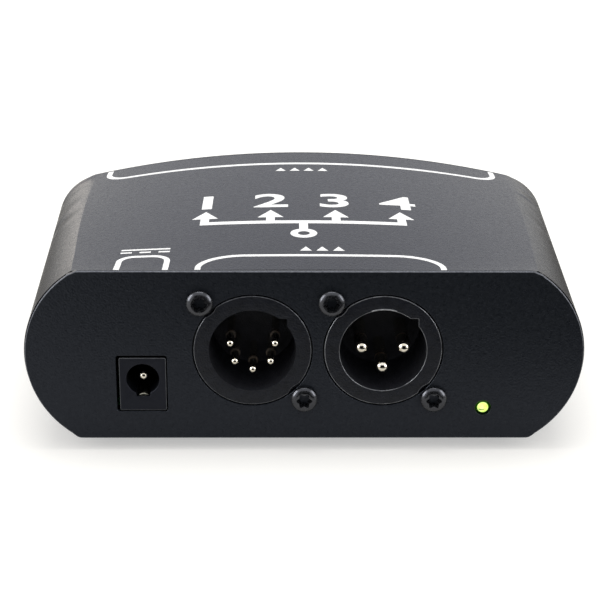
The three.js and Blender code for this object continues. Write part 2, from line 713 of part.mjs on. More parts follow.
const baseScrew = screw(BASE_SHEET + SHEET + SCREW_TIP);
baseScrewPlaces().forEach(([x, y], i) => {
  const piece = addPiece(caseGroup, `base_screw_${i + 1}`, baseScrew, blackScrew);
  piece.position.set(x, y, BOTTOM_Z);
  piece.rotation.x = Math.PI / 2;
});

// Power jack: a moulded block with a round bore, a centre pin and a leaf contact in the bore's floor
function jackBody() {
  const outline = roundedRectangle(JACK_WIDTH, JACK_HEIGHT, JACK_CORNER / 2);
  const body = alongDepth(outline, JACK_SETBACK, JACK_SETBACK + JACK_DEPTH);
  const end = JACK_SETBACK + JACK_BORE_DEPTH;
  const bore = rod(JACK_BORE_RADIUS, -OVERRUN, end, JACK_SEGMENTS, 0, JACK_BORE_RISE);
  const root = end + JACK_PIN_ROOT + SEAT_GAP;
  const pinHole = rod(JACK_PIN_RADIUS + SEAT_GAP, end - OVERRUN, root, PIN_SEGMENTS, 0, JACK_BORE_RISE);
  const half = JACK_LEAF_WIDTH / 2 + RUNNING_GAP;
  const floor = JACK_BORE_RISE - JACK_BORE_RADIUS - JACK_LEAF_BOW;
  const grooveFront = JACK_SETBACK + JACK_LEAF_SETBACK - RUNNING_GAP;
  const groove = block(-half, half, grooveFront, end, floor, JACK_BORE_RISE);
  return cut(body, bore, pinHole, groove);
}

function jackPin() {
  const tip = JACK_SETBACK + JACK_PIN_SETBACK;
  const end = JACK_SETBACK + JACK_BORE_DEPTH + JACK_PIN_ROOT;
  return barrel([
    [0, tip],
    [JACK_PIN_RADIUS / 2, tip],
    [JACK_PIN_RADIUS, tip + JACK_PIN_RADIUS],
    [JACK_PIN_RADIUS, end],
    [0, end],
  ], PIN_SEGMENTS, 0, JACK_BORE_RISE);
}

// The leaf is a strip whose middle bows up into the bore
function jackLeaf() {
  const from = JACK_SETBACK + JACK_LEAF_SETBACK;
  const to = JACK_SETBACK + JACK_BORE_DEPTH - SEAT_GAP;
  const floor = JACK_BORE_RISE - JACK_BORE_RADIUS - JACK_LEAF_BOW + SEAT_GAP;
  const steps = ROLL_STEPS;
  const line = Array.from({ length: steps + 1 }, (_, i) => {
    const share = i / steps;
    return new THREE.Vector2(from + (to - from) * share, floor + JACK_LEAF_BOW * Math.sin(Math.PI * share));
  });
  const above = offsetLine(line, -JACK_LEAF_THICKNESS);
  const strip = new THREE.ExtrudeGeometry(new THREE.Shape([...line, ...above.reverse()]), {
    depth: JACK_LEAF_WIDTH,
    bevelEnabled: false,
    steps: 1,
  });
  strip.translate(0, 0, -JACK_LEAF_WIDTH / 2);
  strip.rotateX(Math.PI / 2);
  strip.rotateZ(Math.PI / 2);
  return toSolid(strip);
}

const jack = new THREE.Group();
jack.position.set(JACK_X, 0, JACK_Z);
front.add(jack);
addPiece(jack, 'power_jack_body', jackBody(), insulator);
addPiece(jack, 'power_jack_pin', jackPin(), silver);
addPiece(jack, 'power_jack_leaf', jackLeaf(), silver);

// Status light: a round-nosed lens with a rim behind the front plate
function statusLight() {
  const behind = PLATE + SEAT_GAP;
  return barrel([
    [0, 0],
    [LED_RADIUS / 2, 0],
    [LED_RADIUS * Math.sqrt(3) / 2, LED_RADIUS / 4],
    [LED_RADIUS, LED_RADIUS],
    [LED_RADIUS, behind],
    [LED_RADIUS + LED_RIM, behind],
    [LED_RADIUS + LED_RIM, behind + LED_RIM_THICKNESS],
    [LED_RADIUS, behind + LED_RIM_THICKNESS],
    [LED_RADIUS, LED_LENGTH],
    [0, LED_LENGTH],
  ], SMALL_SEGMENTS);
}

const light = addPiece(front, 'status_light', statusLight(), finish(0x9be63c, 0.2));
light.position.set(LED_X, 0, LED_Z);

// Circuit board and what is soldered to it
const boardHalf = baseCorner(PLATE / DEPTH, BOARD_BOTTOM_Z) - SHEET - BOARD_CLEARANCE;
const boardShape = roundedRectangle(2 * boardHalf, 2 * BOARD_EDGE, BOARD_CORNER);
addPiece(caseGroup, 'circuit_board', upwards(boardShape, BOARD_BOTTOM_Z, BOARD_TOP_Z), finish(0x1f6b3a, 0.6));

const partsZ = BOARD_TOP_Z + SEAT_GAP;
const converterY = DEPTH / 2 - SHELL_DEPTH - CONVERTER_SETBACK;
const driverY = converterY - CONVERTER_DEPTH / 2 - DRIVER_SETBACK - DRIVER_DEPTH / 2;

function driver() {
  const foot = roundedRectangle(DRIVER_WIDTH, DRIVER_DEPTH, DRIVER_DRAFT);
  const geometry = new THREE.ExtrudeGeometry(foot, {
    depth: DRIVER_HEIGHT - DRIVER_DRAFT,
    bevelEnabled: true,
    bevelThickness: DRIVER_DRAFT / 2,
    bevelSize: DRIVER_DRAFT / 2,
    bevelOffset: -DRIVER_DRAFT / 2,
    bevelSegments: 1,
    curveSegments: 1,
    steps: 1,
  });
  geometry.translate(0, 0, DRIVER_DRAFT / 2);
  return toSolid(geometry);
}

const epoxy = finish(0x141414, 0.5);
const converterHalf = CONVERTER_WIDTH / 2;
const converterDeep = CONVERTER_DEPTH / 2;
const converter = block(-converterHalf, converterHalf, -converterDeep, converterDeep, 0, CONVERTER_HEIGHT);
const driverSolid = driver();
OUTPUT_XS.forEach((x, i) => {
  const supply = addPiece(caseGroup, `isolating_converter_${i + 1}`, converter, epoxy);
  supply.position.set(-x, converterY, partsZ);
  const chip = addPiece(caseGroup, `line_driver_${i + 1}`, driverSolid, epoxy);
  chip.position.set(-x, driverY, partsZ);
});

// The electrolytic capacitor stands behind the power jack
const capacitorY = JACK_SETBACK + JACK_DEPTH + CAPACITOR_SETBACK - DEPTH / 2;
const can = post([
  [0, 0],
  [CAPACITOR_RADIUS, 0],
  [CAPACITOR_RADIUS, CAPACITOR_HEIGHT - CAPACITOR_EDGE],
  [CAPACITOR_RADIUS - CAPACITOR_EDGE, CAPACITOR_HEIGHT],
  [0, CAPACITOR_HEIGHT],
], JACK_SEGMENTS);
const capacitor = addPiece(caseGroup, 'supply_capacitor', can, finish(0x2b2f3a, 0.4));
capacitor.position.set(JACK_X, capacitorY, partsZ);

// Rubber feet under the base plate
const foot = post([
  [0, 0],
  [FOOT_RADIUS - FOOT_TAPER, 0],
  [FOOT_RADIUS, FOOT_HEIGHT],
  [0, FOOT_HEIGHT],
], JACK_SEGMENTS);
const footX = baseCorner(0) - FOOT_INSET;
const footY = DEPTH / 2 - FOOT_SETBACK;
[[-footX, -footY], [footX, -footY], [footX, footY], [-footX, footY]].forEach(([x, y], i) => {
  const piece = addPiece(caseGroup, `foot_${i + 1}`, foot, finish(0x1a1a1a, 0.9));
  piece.position.set(x, y, BOTTOM_Z - SEAT_GAP - FOOT_HEIGHT);
});

export default splitter;
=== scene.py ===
"""Visual model of a four-way DMX splitter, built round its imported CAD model.

Sizes are in millimetres until a mesh is written. A point of the case is (x, depth, height): x to the right,
depth behind the front face and height above the middle of the case.
"""
import json
import math

import bmesh
import bpy
import numpy as np
from mathutils import Matrix, Vector
from mathutils.geometry import tessellate_polygon

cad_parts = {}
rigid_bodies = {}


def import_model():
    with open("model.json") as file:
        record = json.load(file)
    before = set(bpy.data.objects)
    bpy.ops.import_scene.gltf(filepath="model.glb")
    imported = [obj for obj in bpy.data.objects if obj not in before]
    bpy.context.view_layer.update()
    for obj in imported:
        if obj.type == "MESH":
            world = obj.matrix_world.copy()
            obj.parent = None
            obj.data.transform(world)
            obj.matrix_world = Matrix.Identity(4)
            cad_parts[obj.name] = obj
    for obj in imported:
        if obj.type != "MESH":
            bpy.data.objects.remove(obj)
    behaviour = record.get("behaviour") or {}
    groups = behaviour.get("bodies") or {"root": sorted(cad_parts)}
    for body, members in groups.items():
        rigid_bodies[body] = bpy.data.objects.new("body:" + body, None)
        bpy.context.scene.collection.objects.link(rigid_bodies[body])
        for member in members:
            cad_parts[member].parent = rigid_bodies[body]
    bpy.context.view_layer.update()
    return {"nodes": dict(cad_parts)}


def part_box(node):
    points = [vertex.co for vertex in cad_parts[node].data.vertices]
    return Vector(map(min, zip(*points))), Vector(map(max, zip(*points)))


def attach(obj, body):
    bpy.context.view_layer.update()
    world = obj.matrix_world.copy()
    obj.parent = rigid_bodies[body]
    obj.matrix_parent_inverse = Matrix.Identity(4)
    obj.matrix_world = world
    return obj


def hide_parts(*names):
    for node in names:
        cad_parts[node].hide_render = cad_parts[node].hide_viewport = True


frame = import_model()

# The top cover
# One sheet of 1.2 mm steel, rolled down both sides and drawn up to a crown towards the rear, with a lip turned in
# along each bottom edge. Its powder coat runs unbroken round the rolls.
MM = 0.001
MID_HEIGHT = 19.85
DEPTH = 80.0
SHEET = 1.2
HALF_HEIGHT = 17.3
HALF_WIDTH = 53.5
FLARE = 4.9
ROLL_RADIUS = 20.2
SHOULDER_REAR = 48.8
CROWN_DROP = 5.5
CROWN_GROWTH = 0.65
COVER_FROM = 1.05
COVER_TO = 78.95
LIP_WIDTH = 7.0
LIP_HEIGHT = -16.05
ARC_POINTS = 40
COVER_ROWS = 64
BUCKLE_GRAIN = 7.0
BUCKLE_HEIGHT = 2.0
BUCKLES_GROW = {"X": (48, 53), "Y": (-5, 12), "Z": (17, 25)}
SHARP_SHEET = 27.0


def linear(colour):
    """An sRGB hex colour as linear red, green and blue, with an alpha of one."""
    channels = np.array([int(colour[i:i + 2], 16) for i in (1, 3, 5)]) / 255
    curve = ((channels + 0.055) / 1.055) ** 2.4
    return (*np.where(channels <= 0.04045, channels / 12.92, curve).tolist(), 1.0)


def add(tree, kind, sockets=(), **settings):
    """Adds a shader node and gives its outputs. Each input in sockets gets a value, or a link to an output."""
    node = tree.nodes.new(f"ShaderNode{kind}")
    for name, value in settings.items():
        setattr(node, name, value)
    for key, value in dict(sockets).items():
        if isinstance(value, bpy.types.NodeSocket):
            tree.links.new(value, node.inputs[key])
        else:
            node.inputs[key].default_value = value
    return node.outputs


def bare_material(name):
    """An empty material, and the object coordinates that its patterns follow."""
    material = bpy.data.materials.new(name)
    material.use_nodes = True
    tree = material.node_tree
    tree.nodes.clear()
    return material, tree, add(tree, "TexCoord")["Object"]


def speckle(tree, place, grain, low, high, detail=2.0):
    """Noise with features of grain millimetres, stretched between two values or two colours."""
    noise = add(tree, "TexNoise", {"Vector": place, "Scale": 1 / (grain * MM), "Detail": detail})["Fac"]
    if isinstance(low, float):
        return add(tree, "MapRange", {"Value": noise, "From Min": 0.3, "From Max": 0.7, "To Min": low,
                                      "To Max": high})["Result"]
    colour = add(tree, "ValToRGB", {"Fac": noise})["Color"]
    for end, position, tone in zip(colour.node.color_ramp.elements, (0.3, 0.7), (low, high)):
        end.position = position
        end.color = linear(tone)
    return colour


def compute(tree, operation, *values):
    """The output of a math node."""
    return add(tree, "Math", dict(enumerate(values)), operation=operation)[0]


def bump(tree, height, strength, distance, **under):
    """The normal of a relief whose height runs from 0 to 1 over a distance in millimetres."""
    sockets = {"Height": height, "Strength": strength, "Distance": distance * MM, **under}
    return add(tree, "Bump", sockets)["Normal"]


def dressed(material, sockets):
    """The material with one Principled shader, whose inputs get these values."""
    shader = add(material.node_tree, "BsdfPrincipled", sockets)
    add(material.node_tree, "OutputMaterial", {"Surface": shader["BSDF"]})
    return material


def powder_coat(name, dark, light, tint, mirror, rough, relief):
    """Fine-texture polyester powder coat: a satin skin with grains about 0.4 mm across.

    On the rear half of the rolls, where the sheet is drawn over the crown, it carries a few soft buckles.
    """
    material, tree, place = bare_material(name)
    stretched = add(tree, "Mapping", {"Vector": place, "Scale": (0.25, 1, 0.25)})[0]
    ripples = add(tree, "TexNoise", {"Vector": stretched, "Scale": 1 / (BUCKLE_GRAIN * MM), "Detail": 0.5})
    height = compute(tree, "SUBTRACT", ripples["Fac"], 0.5)
    sides = add(tree, "SeparateXYZ", {"Vector": place})
    for axis, (start, end) in BUCKLES_GROW.items():
        along = compute(tree, "ABSOLUTE", sides[axis]) if axis == "X" else sides[axis]
        share = add(tree, "MapRange", {"Value": along, "From Min": start * MM, "From Max": end * MM},
                    interpolation_type="SMOOTHSTEP")
        height = compute(tree, "MULTIPLY", height, share[0])
    return dressed(material, {
        "Base Color": speckle(tree, place, 0.8, dark, light),
        "Roughness": speckle(tree, place, 0.7, rough - 0.05, rough + 0.05),
        "Specular IOR Level": mirror,
        "Specular Tint": linear(tint),
        "Normal": bump(tree, speckle(tree, place, 0.4, 0.0, 1.0, 3.0), 0.6, relief,
                       Normal=bump(tree, height, 1.0, BUCKLE_HEIGHT)),
    })


def top_height(x, depth):
    """Height of the top: it falls from the middle as the square of x, and more towards the rear."""
    share = np.clip(np.asarray(depth) / DEPTH, 0, 1)
    return HALF_HEIGHT - CROWN_DROP * (x / SHOULDER_REAR) ** 2 * share ** CROWN_GROWTH


def polar(radius, angle, x=0.0, height=0.0):
    """Points (x, height) at a radius and an angle round a centre."""
    return np.stack([x + radius * np.cos(angle), height + radius * np.sin(angle)], axis=-1)


def at_depth(line, depth):
    """Points (x, height) set at a depth."""
    return np.stack([line[..., 0], np.broadcast_to(depth, line.shape[:-1]), line[..., 1]], axis=-1)


def side_line(depths, end_height):
    """Right half of the section at each depth, as x and height.

    The crown's parabola runs to the shoulder, an arc runs on to the tip, and the roll's arc down to end_height.
    """
    share = np.asarray(depths, float)[:, None] / DEPTH
    tip = HALF_WIDTH + FLARE * share
    roll_centre = tip - ROLL_RADIUS
    front_shoulder = HALF_WIDTH - ROLL_RADIUS + math.sqrt(ROLL_RADIUS ** 2 - HALF_HEIGHT ** 2)
    shoulder = front_shoulder + (SHOULDER_REAR - front_shoulder) * np.sin(share * math.pi / 2)
    crown_x = shoulder * (1 - (1 - np.arange(ARC_POINTS) / ARC_POINTS) ** 1.5)
    crown = np.stack([crown_x, top_height(crown_x, share * DEPTH)], axis=-1)
    height = top_height(shoulder, share * DEPTH)
    centre = (shoulder ** 2 + height ** 2 - tip ** 2) / (2 * (shoulder - tip))
    turn = np.arctan2(height, shoulder - centre) * np.linspace(1, 0, ARC_POINTS)
    upper = polar(tip - centre, turn, centre)
    fall = math.asin(end_height / ROLL_RADIUS) * np.linspace(0, 1, ARC_POINTS)[1:] + 0 * share
    return np.concatenate([crown, upper, polar(ROLL_RADIUS, fall, roll_centre)], axis=1)


def both_sides(half):
    """Mirrors half lines to the left and runs each on through the middle."""
    left = half[:, :0:-1] * [-1, 1]
    return np.concatenate([left, half], axis=1)


def offset(lines, distance, closed=False):
    """Points moved square to their line, to its right as it runs, and further at corners to keep a wall even."""
    after = np.roll(lines, -1, axis=-2) - lines
    after = after / np.linalg.norm(after, axis=-1, keepdims=True)
    before = np.roll(after, 1, axis=-2)
    if not closed:
        before[..., 0, :] = after[..., 0, :]
        after[..., -1, :] = before[..., -1, :]
    middle = before + after
    middle = middle / np.linalg.norm(middle, axis=-1, keepdims=True)
    reach = distance / np.sum(middle * before, axis=-1, keepdims=True)
    return lines + reach * np.stack([middle[..., 1], -middle[..., 0]], axis=-1)


def surface(points, around=True):
    """Points and quads of a grid, where around joins its last column to its first."""
    rows, columns = points.shape[:2]
    row = np.arange(rows - 1)[:, None] * columns
    column = np.arange(columns if around else columns - 1)
    after = (column + 1) % columns
    corners = [row + column, row + after, row + columns + after, row + columns + column]
    return points.reshape(-1, 3), np.stack(corners, axis=-1).reshape(-1, 4)


def loft(points):
    """A tube of rings. Each end is closed by a strip between the two halves of its ring."""
    half = points.shape[1] // 2
    strips = [np.stack([end[:half], end[:half - 1:-1]]) for end in (points[0], points[-1])]
    return [surface(points), *(surface(strip, around=False) for strip in strips)]


def put(name, data):
    """A new object in the scene."""
    thing = bpy.data.objects.new(name, data)
    bpy.context.scene.collection.objects.link(thing)
    return thing


def make_piece(name, surfaces, materials, body="case", sharp=32.0):
    """One mesh of many surfaces that rides on a body.

    A surface is points and faces, and the number of its material where that isn't the first. Seams are joined, faces
    turned outwards, and edges over sharp degrees kept crisp.
    """
    counts = np.cumsum([0] + [len(points) for points, *_ in surfaces])
    vertices = np.concatenate([points for points, *_ in surfaces]) * MM
    faces = [face for start, (_, polygons, *_) in zip(counts, surfaces) for face in (polygons + start).tolist()]
    numbers = np.concatenate([np.full(len(polygons), (*rest, 0)[0]) for _, polygons, *rest in surfaces])
    mesh = bpy.data.meshes.new(name)
    mesh.from_pydata(vertices, [], faces)
    mesh.polygons.foreach_set("material_index", numbers.astype(np.int32))
    for material in materials if isinstance(materials, list) else [materials]:
        mesh.materials.append(material)
    work = bmesh.new()
    work.from_mesh(mesh)
    bmesh.ops.remove_doubles(work, verts=work.verts, dist=0.0005 * MM)
    bmesh.ops.dissolve_degenerate(work, edges=work.edges, dist=0.0002 * MM)
    bmesh.ops.recalc_face_normals(work, faces=work.faces)
    work.to_mesh(mesh)
    work.free()
    mesh.shade_smooth()
    mesh.set_sharp_from_angle(angle=math.radians(sharp))
    piece = put(name, mesh)
    weigh = piece.modifiers.new("Flat faces stay flat", "WEIGHTED_NORMAL")
    weigh.keep_sharp = True
    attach(piece, body)
    return piece


def moved(surfaces, place, **where):
    """Surfaces given about an axis of the case, put in their place."""
    return [(place(points, **where), *rest) for points, *rest in surfaces]


def stand_for(node, surfaces, materials, slot, place, body="case", sharp=32.0, **where):
    """A finished piece in place of one node of the frame, with its surfaces given about an axis of the case."""
    piece = make_piece(f"{node}_finished", moved(surfaces, place, **where), materials, body, sharp)
    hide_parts(node)


def from_front(points, x=0.0, height=0.0):
    """Points (x, depth, height) about an axis of the front, in the part's own frame."""
    return points + [x, -DEPTH / 2, MID_HEIGHT + height]


def from_rear(points, x=0.0, height=0.0):
    """Points about an axis of the rear, where x runs the other way and depth counts from the rear face."""
    return (points + [x, 0, 0]) * [-1, -1, 1] + [0, DEPTH / 2, MID_HEIGHT + height]


def cover_surfaces():
    """The sheet as a loft: its outer line and, 1.2 mm inside, its inner line at each depth, closed at both ends."""
    depths = np.linspace(COVER_FROM, COVER_TO, COVER_ROWS)
    half = side_line(depths, LIP_HEIGHT)
    corner = FLARE * depths / DEPTH + side_line([0], -HALF_HEIGHT)[0, -1, 0]
    lip_end = np.stack([corner - LIP_WIDTH, np.full(COVER_ROWS, LIP_HEIGHT)], axis=-1)[:, None]
    outer = both_sides(np.concatenate([half, lip_end], axis=1))
    ring = np.concatenate([outer, offset(outer, SHEET)[:, ::-1]], axis=1)
    return loft(at_depth(ring, depths[:, None]))


cover_coat = powder_coat("Satin black powder coat", "#14151b", "#1b1c23", "#dee4ff", 0.21, 0.27, 0.036)
stand_for("top_cover", cover_surfaces(), cover_coat, "cover_powder_coat", from_front, sharp=SHARP_SHEET)

# The base plate
# A flat sheet between the cover's lips, with the same powder coat. Four bosses pressed up in it carry the board.


def paint(node, material):
    """A finish on a piece that stays as the frame has it."""
    frame["nodes"][node].data.materials.clear()
    frame["nodes"][node].data.materials.append(material)


paint("base_plate", cover_coat)

# The front and rear plates
# 1 mm steel plates, sawn to the case's outline at their end, with a milled edge all round. A receptacle's collar
# stands in each punched hole, flush with the face.
PLATE = 1.0
PLATE_EDGE = 0.17
PLATE_BACK_EDGE = 0.14
PLATE_INSET = 0.22
PLATE_CORNER = 0.7
INSET_FADE = 0.9
HOLE_EDGE = 0.15
EDGE_STEPS = 5
COLLAR_RADIUS = 11.2
COLLAR_GAP = 0.3
INPUT_XS = (-9.95, 14.95)
INPUT_HEIGHT = 1.15
OUTPUT_XS = (-37.35, -12.45, 12.45, 37.35)
OUTPUT_HEIGHT = -2.2
SCREW_OFFSET = 9.9
SCREW_CORNERS = ((-SCREW_OFFSET, SCREW_OFFSET), (SCREW_OFFSET, -SCREW_OFFSET))
JACK_X = -31.0
JACK_HEIGHT = -5.9
JACK_WIDTH = 9.0
JACK_TALL = 11.0
WINDOW_GAPS = (0.55, 0.22, 0.18, 0.5)
WINDOW_RADIUS = 0.5
LIGHT_X = 34.5
LIGHT_HEIGHT = -10.85
LIGHT_RADIUS = 1.45
LIGHT_GAP = 0.1


def circle(radius, x, height, count):
    """A closed line of evenly spaced points at one radius."""
    return polar(radius, np.arange(count) * 2 * math.pi / count, x, height)


def rounded_box(left, right, low, high, radius):
    """A closed line round a rectangle, with a quarter circle at each corner."""
    left, right, low, high = left + radius, right - radius, low + radius, high - radius
    turn = np.linspace(0, math.pi / 2, 6)
    centres = ((right, low), (right, high), (left, high), (left, low))
    return np.concatenate([polar(radius, (quarter - 1) * math.pi / 2 + turn, *centre)
                           for quarter, centre in enumerate(centres)])


def bend(t, start, corner, end):
    """A curve from start to end that leaves and arrives along the lines to the corner, where t runs from 0 to 1."""
    return (1 - t) ** 2 * start + 2 * t * (1 - t) * corner + t ** 2 * end


def filled(loops):
    """Triangles between closed lines."""
    return np.array(tessellate_polygon([[Vector((*point, 0)) for point in loop.tolist()] for loop in loops]))


def panel(outline, holes, edges, hole_edge, front, back, highlit_edge=0):
    """A flat part with openings.

    Each closed line is carried from front to back, and rounded off at both faces. edges holds the outline's two
    radii, and the last argument gives the number of the material of its front edge, where a highlight is painted.
    """
    turn = np.linspace(0, math.pi / 2, EDGE_STEPS)
    surfaces, fronts, backs = [], [], []
    for number, line in enumerate([outline, *holes]):
        side, first, last = (-1, *edges) if number == 0 else (1, hole_edge, hole_edge)
        inset = np.concatenate([first * (1 - np.sin(turn)), last * (1 - np.sin(turn[::-1]))]) * side
        depth = np.concatenate([front + first * (1 - np.cos(turn)), back - last * (1 - np.cos(turn[::-1]))])
        rows = np.stack([offset(line, distance, closed=True) for distance in inset])
        points = at_depth(rows, depth[:, None])
        surfaces += [(*surface(points[:EDGE_STEPS]), 0 if number else highlit_edge), surface(points[EDGE_STEPS - 1:])]
        fronts.append(rows[0])
        backs.append(rows[-1])
    faces = ((fronts, front), (backs, back))
    return surfaces + [(at_depth(np.concatenate(loops), at), filled(loops)) for loops, at in faces]


def plate_outline(depth):
    """The case's outline at a depth, with softened corners, run anticlockwise.

    Its ends are sawn a little inside the cover's rolls, so that a step of the cover's edge shows round them.
    """
    line = both_sides(side_line([depth], -HALF_HEIGHT))[0]
    corner = line[-1]
    line = line[np.linalg.norm(np.abs(line) - np.abs(corner), axis=1) > PLATE_CORNER]
    curve = bend(np.linspace(0, 1, 7)[:, None], line[-1], corner, corner - [PLATE_CORNER, 0])
    line = np.concatenate([curve[:0:-1] * [-1, 1], line, curve[1:]])[::-1]
    shoulder = top_height(SHOULDER_REAR, depth) if depth else HALF_HEIGHT
    room = np.where(line[:, 1] > 0, shoulder, HALF_HEIGHT) - np.abs(line[:, 1])
    share = np.clip(room / INSET_FADE, 0, 1)[:, None]
    return offset(line, -PLATE_INSET * share ** 2 * (3 - 2 * share), closed=True)


left, right, under, over = WINDOW_GAPS
window = rounded_box(JACK_X - JACK_WIDTH / 2 - left, JACK_X + JACK_WIDTH / 2 + right,
                     JACK_HEIGHT - JACK_TALL / 2 - under, JACK_HEIGHT + JACK_TALL / 2 + over, WINDOW_RADIUS)
light_hole = circle(LIGHT_RADIUS + LIGHT_GAP, LIGHT_X, LIGHT_HEIGHT, 48)
plate_coat = powder_coat("Satin black powder coat on the plates", "#14171b", "#1c1f23", "#e2e8ff", 0.28, 0.31, 0.075)
# The front edge of each plate takes a lighter grey coat: a painted highlight along the edge.
plate_edge_highlight = powder_coat("Coat with a painted edge highlight", "#4b4d52", "#6a6c71", "#e2e8ff", 0.6, 0.3, 0.02)
faces = (("front", 0, INPUT_XS, INPUT_HEIGHT, from_front), ("rear", DEPTH, OUTPUT_XS, OUTPUT_HEIGHT, from_rear))
for side, depth, axes, height, place in faces:
    holes = [circle(COLLAR_RADIUS + COLLAR_GAP, x, height, 240) for x in axes]
    holes += [window, light_hole] if side == "front" else []
    plate = panel(plate_outline(depth), holes, (PLATE_EDGE, PLATE_BACK_EDGE), HOLE_EDGE, 0, PLATE, 1)
    stand_for(f"{side}_plate", plate, [plate_coat, plate_edge_highlight], "plate_powder_coat", place, sharp=SHARP_SHEET)

# The input receptacles
# Zinc die castings with a black finish: a collar that fills the plate's hole, a flange and barrel behind it, and an
# open cup with a square keyway at the upper right and a catch at the top for the plug's latch. The pins are turned
# brass with silver plate, pressed into the cup's floor.
CUP_RADIUS = 8.3
CUP_DEPTH = 13.5
CUP_EDGE = 0.4
KEYWAY = 6.61
KEYWAY_REACH = 9.2
KEYWAY_TURNS = (37.2, 43.9, 46.1, 52.8)
FLANGE_FRONT = 1.05
FLANGE_BACK = 4.0
FLANGE_RADIUS = 11.9
FLANGE_EDGE = 0.2
BARREL_RADIUS = 10.6
SHELL_DEPTH = 17.0
BARREL_EDGE = 0.3
EAR_RADIUS = 2.6
EAR_REACH = 14.0
HEAD_RELIEF = 3.2
CATCH_WIDTH = 5.4
CATCH_BEAD = 0.15
CATCH_REACH = 8.5
CATCH_DEPTH = 0.1
BOARD_TOP = -11.45
BOARD_GAP = 0.05
BOARD_FROM = 5.9
FOOT_HALF_WIDTH = 7.0
FOOT_FRONT = 7.5
FOOT_TOP_RADIUS = 9.95
FOOT_EDGE = 0.05
BEND_STEPS = 4


def around(count, *more):
    """Angles round an axis, evenly spaced, with extra ones where an outline turns a corner."""
    return np.unique(np.concatenate([np.arange(count) * 2 * math.pi / count, np.mod(more, 2 * math.pi)]))


def rounded(profile):
    """Softens a profile's corners.

    Each point is (radius, depth), or (radius, depth, soft) for a corner that bends from soft before it to soft after.
    """
    points = [np.stack(np.broadcast_arrays(*point[:2]), axis=-1).astype(float) for point in profile]
    result = []
    for number, (point, entry) in enumerate(zip(points, profile)):
        if len(entry) < 3:
            result.append(point)
            continue
        before, after = points[number - 1] - point, points[number + 1] - point
        start = point + before * entry[2] / np.linalg.norm(before, axis=-1, keepdims=True)
        end = point + after * entry[2] / np.linalg.norm(after, axis=-1, keepdims=True)
        result += [bend(t, start, point, end) for t in np.linspace(0, 1, BEND_STEPS + 1)]
    return result


def turned(profile, angles, height=0.0):
    """A profile of radius and depth carried round an axis. Either may be a number or differ with the angle."""
    rows = np.stack([np.broadcast_to(point, (len(angles), 2)) for point in profile])
    return surface(at_depth(polar(rows[..., 0], angles, 0.0, height), rows[..., 1]))


def positive(values):
    """Values kept above zero, so that they can divide."""
    return np.clip(values, 1e-6, None)


def from_angle(angles, middle):
    """Each angle less the middle one, between -pi and pi."""
    return np.angle(np.exp(1j * (angles - middle)))


def ears(angles):
    """Radius of the flange: the disc, and a straight-sided ear with a round end towards each screw."""
    flange = np.full(len(angles), FLANGE_RADIUS)
    for x, height in SCREW_CORNERS:
        turn = from_angle(angles, math.atan2(height, x))
        aside = np.abs(EAR_REACH * np.sin(turn))
        end = EAR_REACH * np.cos(turn) + np.sqrt(np.clip(EAR_RADIUS ** 2 - aside ** 2, 0, None))
        side = np.minimum(EAR_RADIUS / positive(np.abs(np.sin(turn))), FLANGE_RADIUS)
        ear = np.where(aside < EAR_RADIUS, end, side)
        flange = np.where(np.cos(turn) > 0, np.maximum(flange, ear), flange)
    return flange


def collar_rim(angles):
    """The collar's radius: a circle, or the near side of a round tool that bites into it beside each screw's head."""
    rim = np.full(len(angles), COLLAR_RADIUS)
    for x, height in SCREW_CORNERS:
        turn = from_angle(angles, math.atan2(height, x))
        aside = np.abs(EAR_REACH * np.sin(turn))
        near = EAR_REACH * np.cos(turn) - np.sqrt(np.clip(HEAD_RELIEF ** 2 - aside ** 2, 0, None))
        rim = np.where((aside < HEAD_RELIEF) & (np.cos(turn) > 0), np.minimum(near, rim), rim)
    return rim


def flat_below(angles, radius, reach):
    """A circle cut off by a level line: the lesser of its radius and the line's reach over minus the angle's sine."""
    return np.minimum(radius, reach / positive(-np.sin(angles)))


def shell_outside(angles, edge, axis_height):
    """The outer half of a receptacle's profile, from the collar's face to the middle of its back.

    The barrel is flat underneath where it would meet the circuit board.
    """
    rim, flange = collar_rim(angles), ears(angles)
    barrel = flat_below(angles, BARREL_RADIUS, axis_height - BOARD_TOP - BOARD_GAP)
    return [
        (rim, 0, edge), (rim, FLANGE_FRONT), (flange, FLANGE_FRONT, FLANGE_EDGE), (flange, FLANGE_BACK, FLANGE_EDGE),
        (BARREL_RADIUS, FLANGE_BACK), (BARREL_RADIUS, BOARD_FROM - BOARD_GAP), (barrel, BOARD_FROM),
        (barrel, SHELL_DEPTH, BARREL_EDGE), (0, SHELL_DEPTH),
    ]


def shell_foot(axis_height):
    """The block under a barrel that stands on the circuit board. Its top is an arc inside the barrel's wall."""
    low = BOARD_TOP + BOARD_GAP - axis_height
    spread = math.asin(FOOT_HALF_WIDTH / FOOT_TOP_RADIUS)
    top = polar(FOOT_TOP_RADIUS, -math.pi / 2 + np.linspace(spread, -spread, 24))
    top[:, 1] = np.maximum(top[:, 1], low + 3 * FOOT_EDGE)
    outline = np.concatenate([[[-FOOT_HALF_WIDTH, low], [FOOT_HALF_WIDTH, low]], top])
    return panel(outline, [], (FOOT_EDGE, FOOT_EDGE), FOOT_EDGE, FOOT_FRONT, SHELL_DEPTH - 2 * FOOT_EDGE)


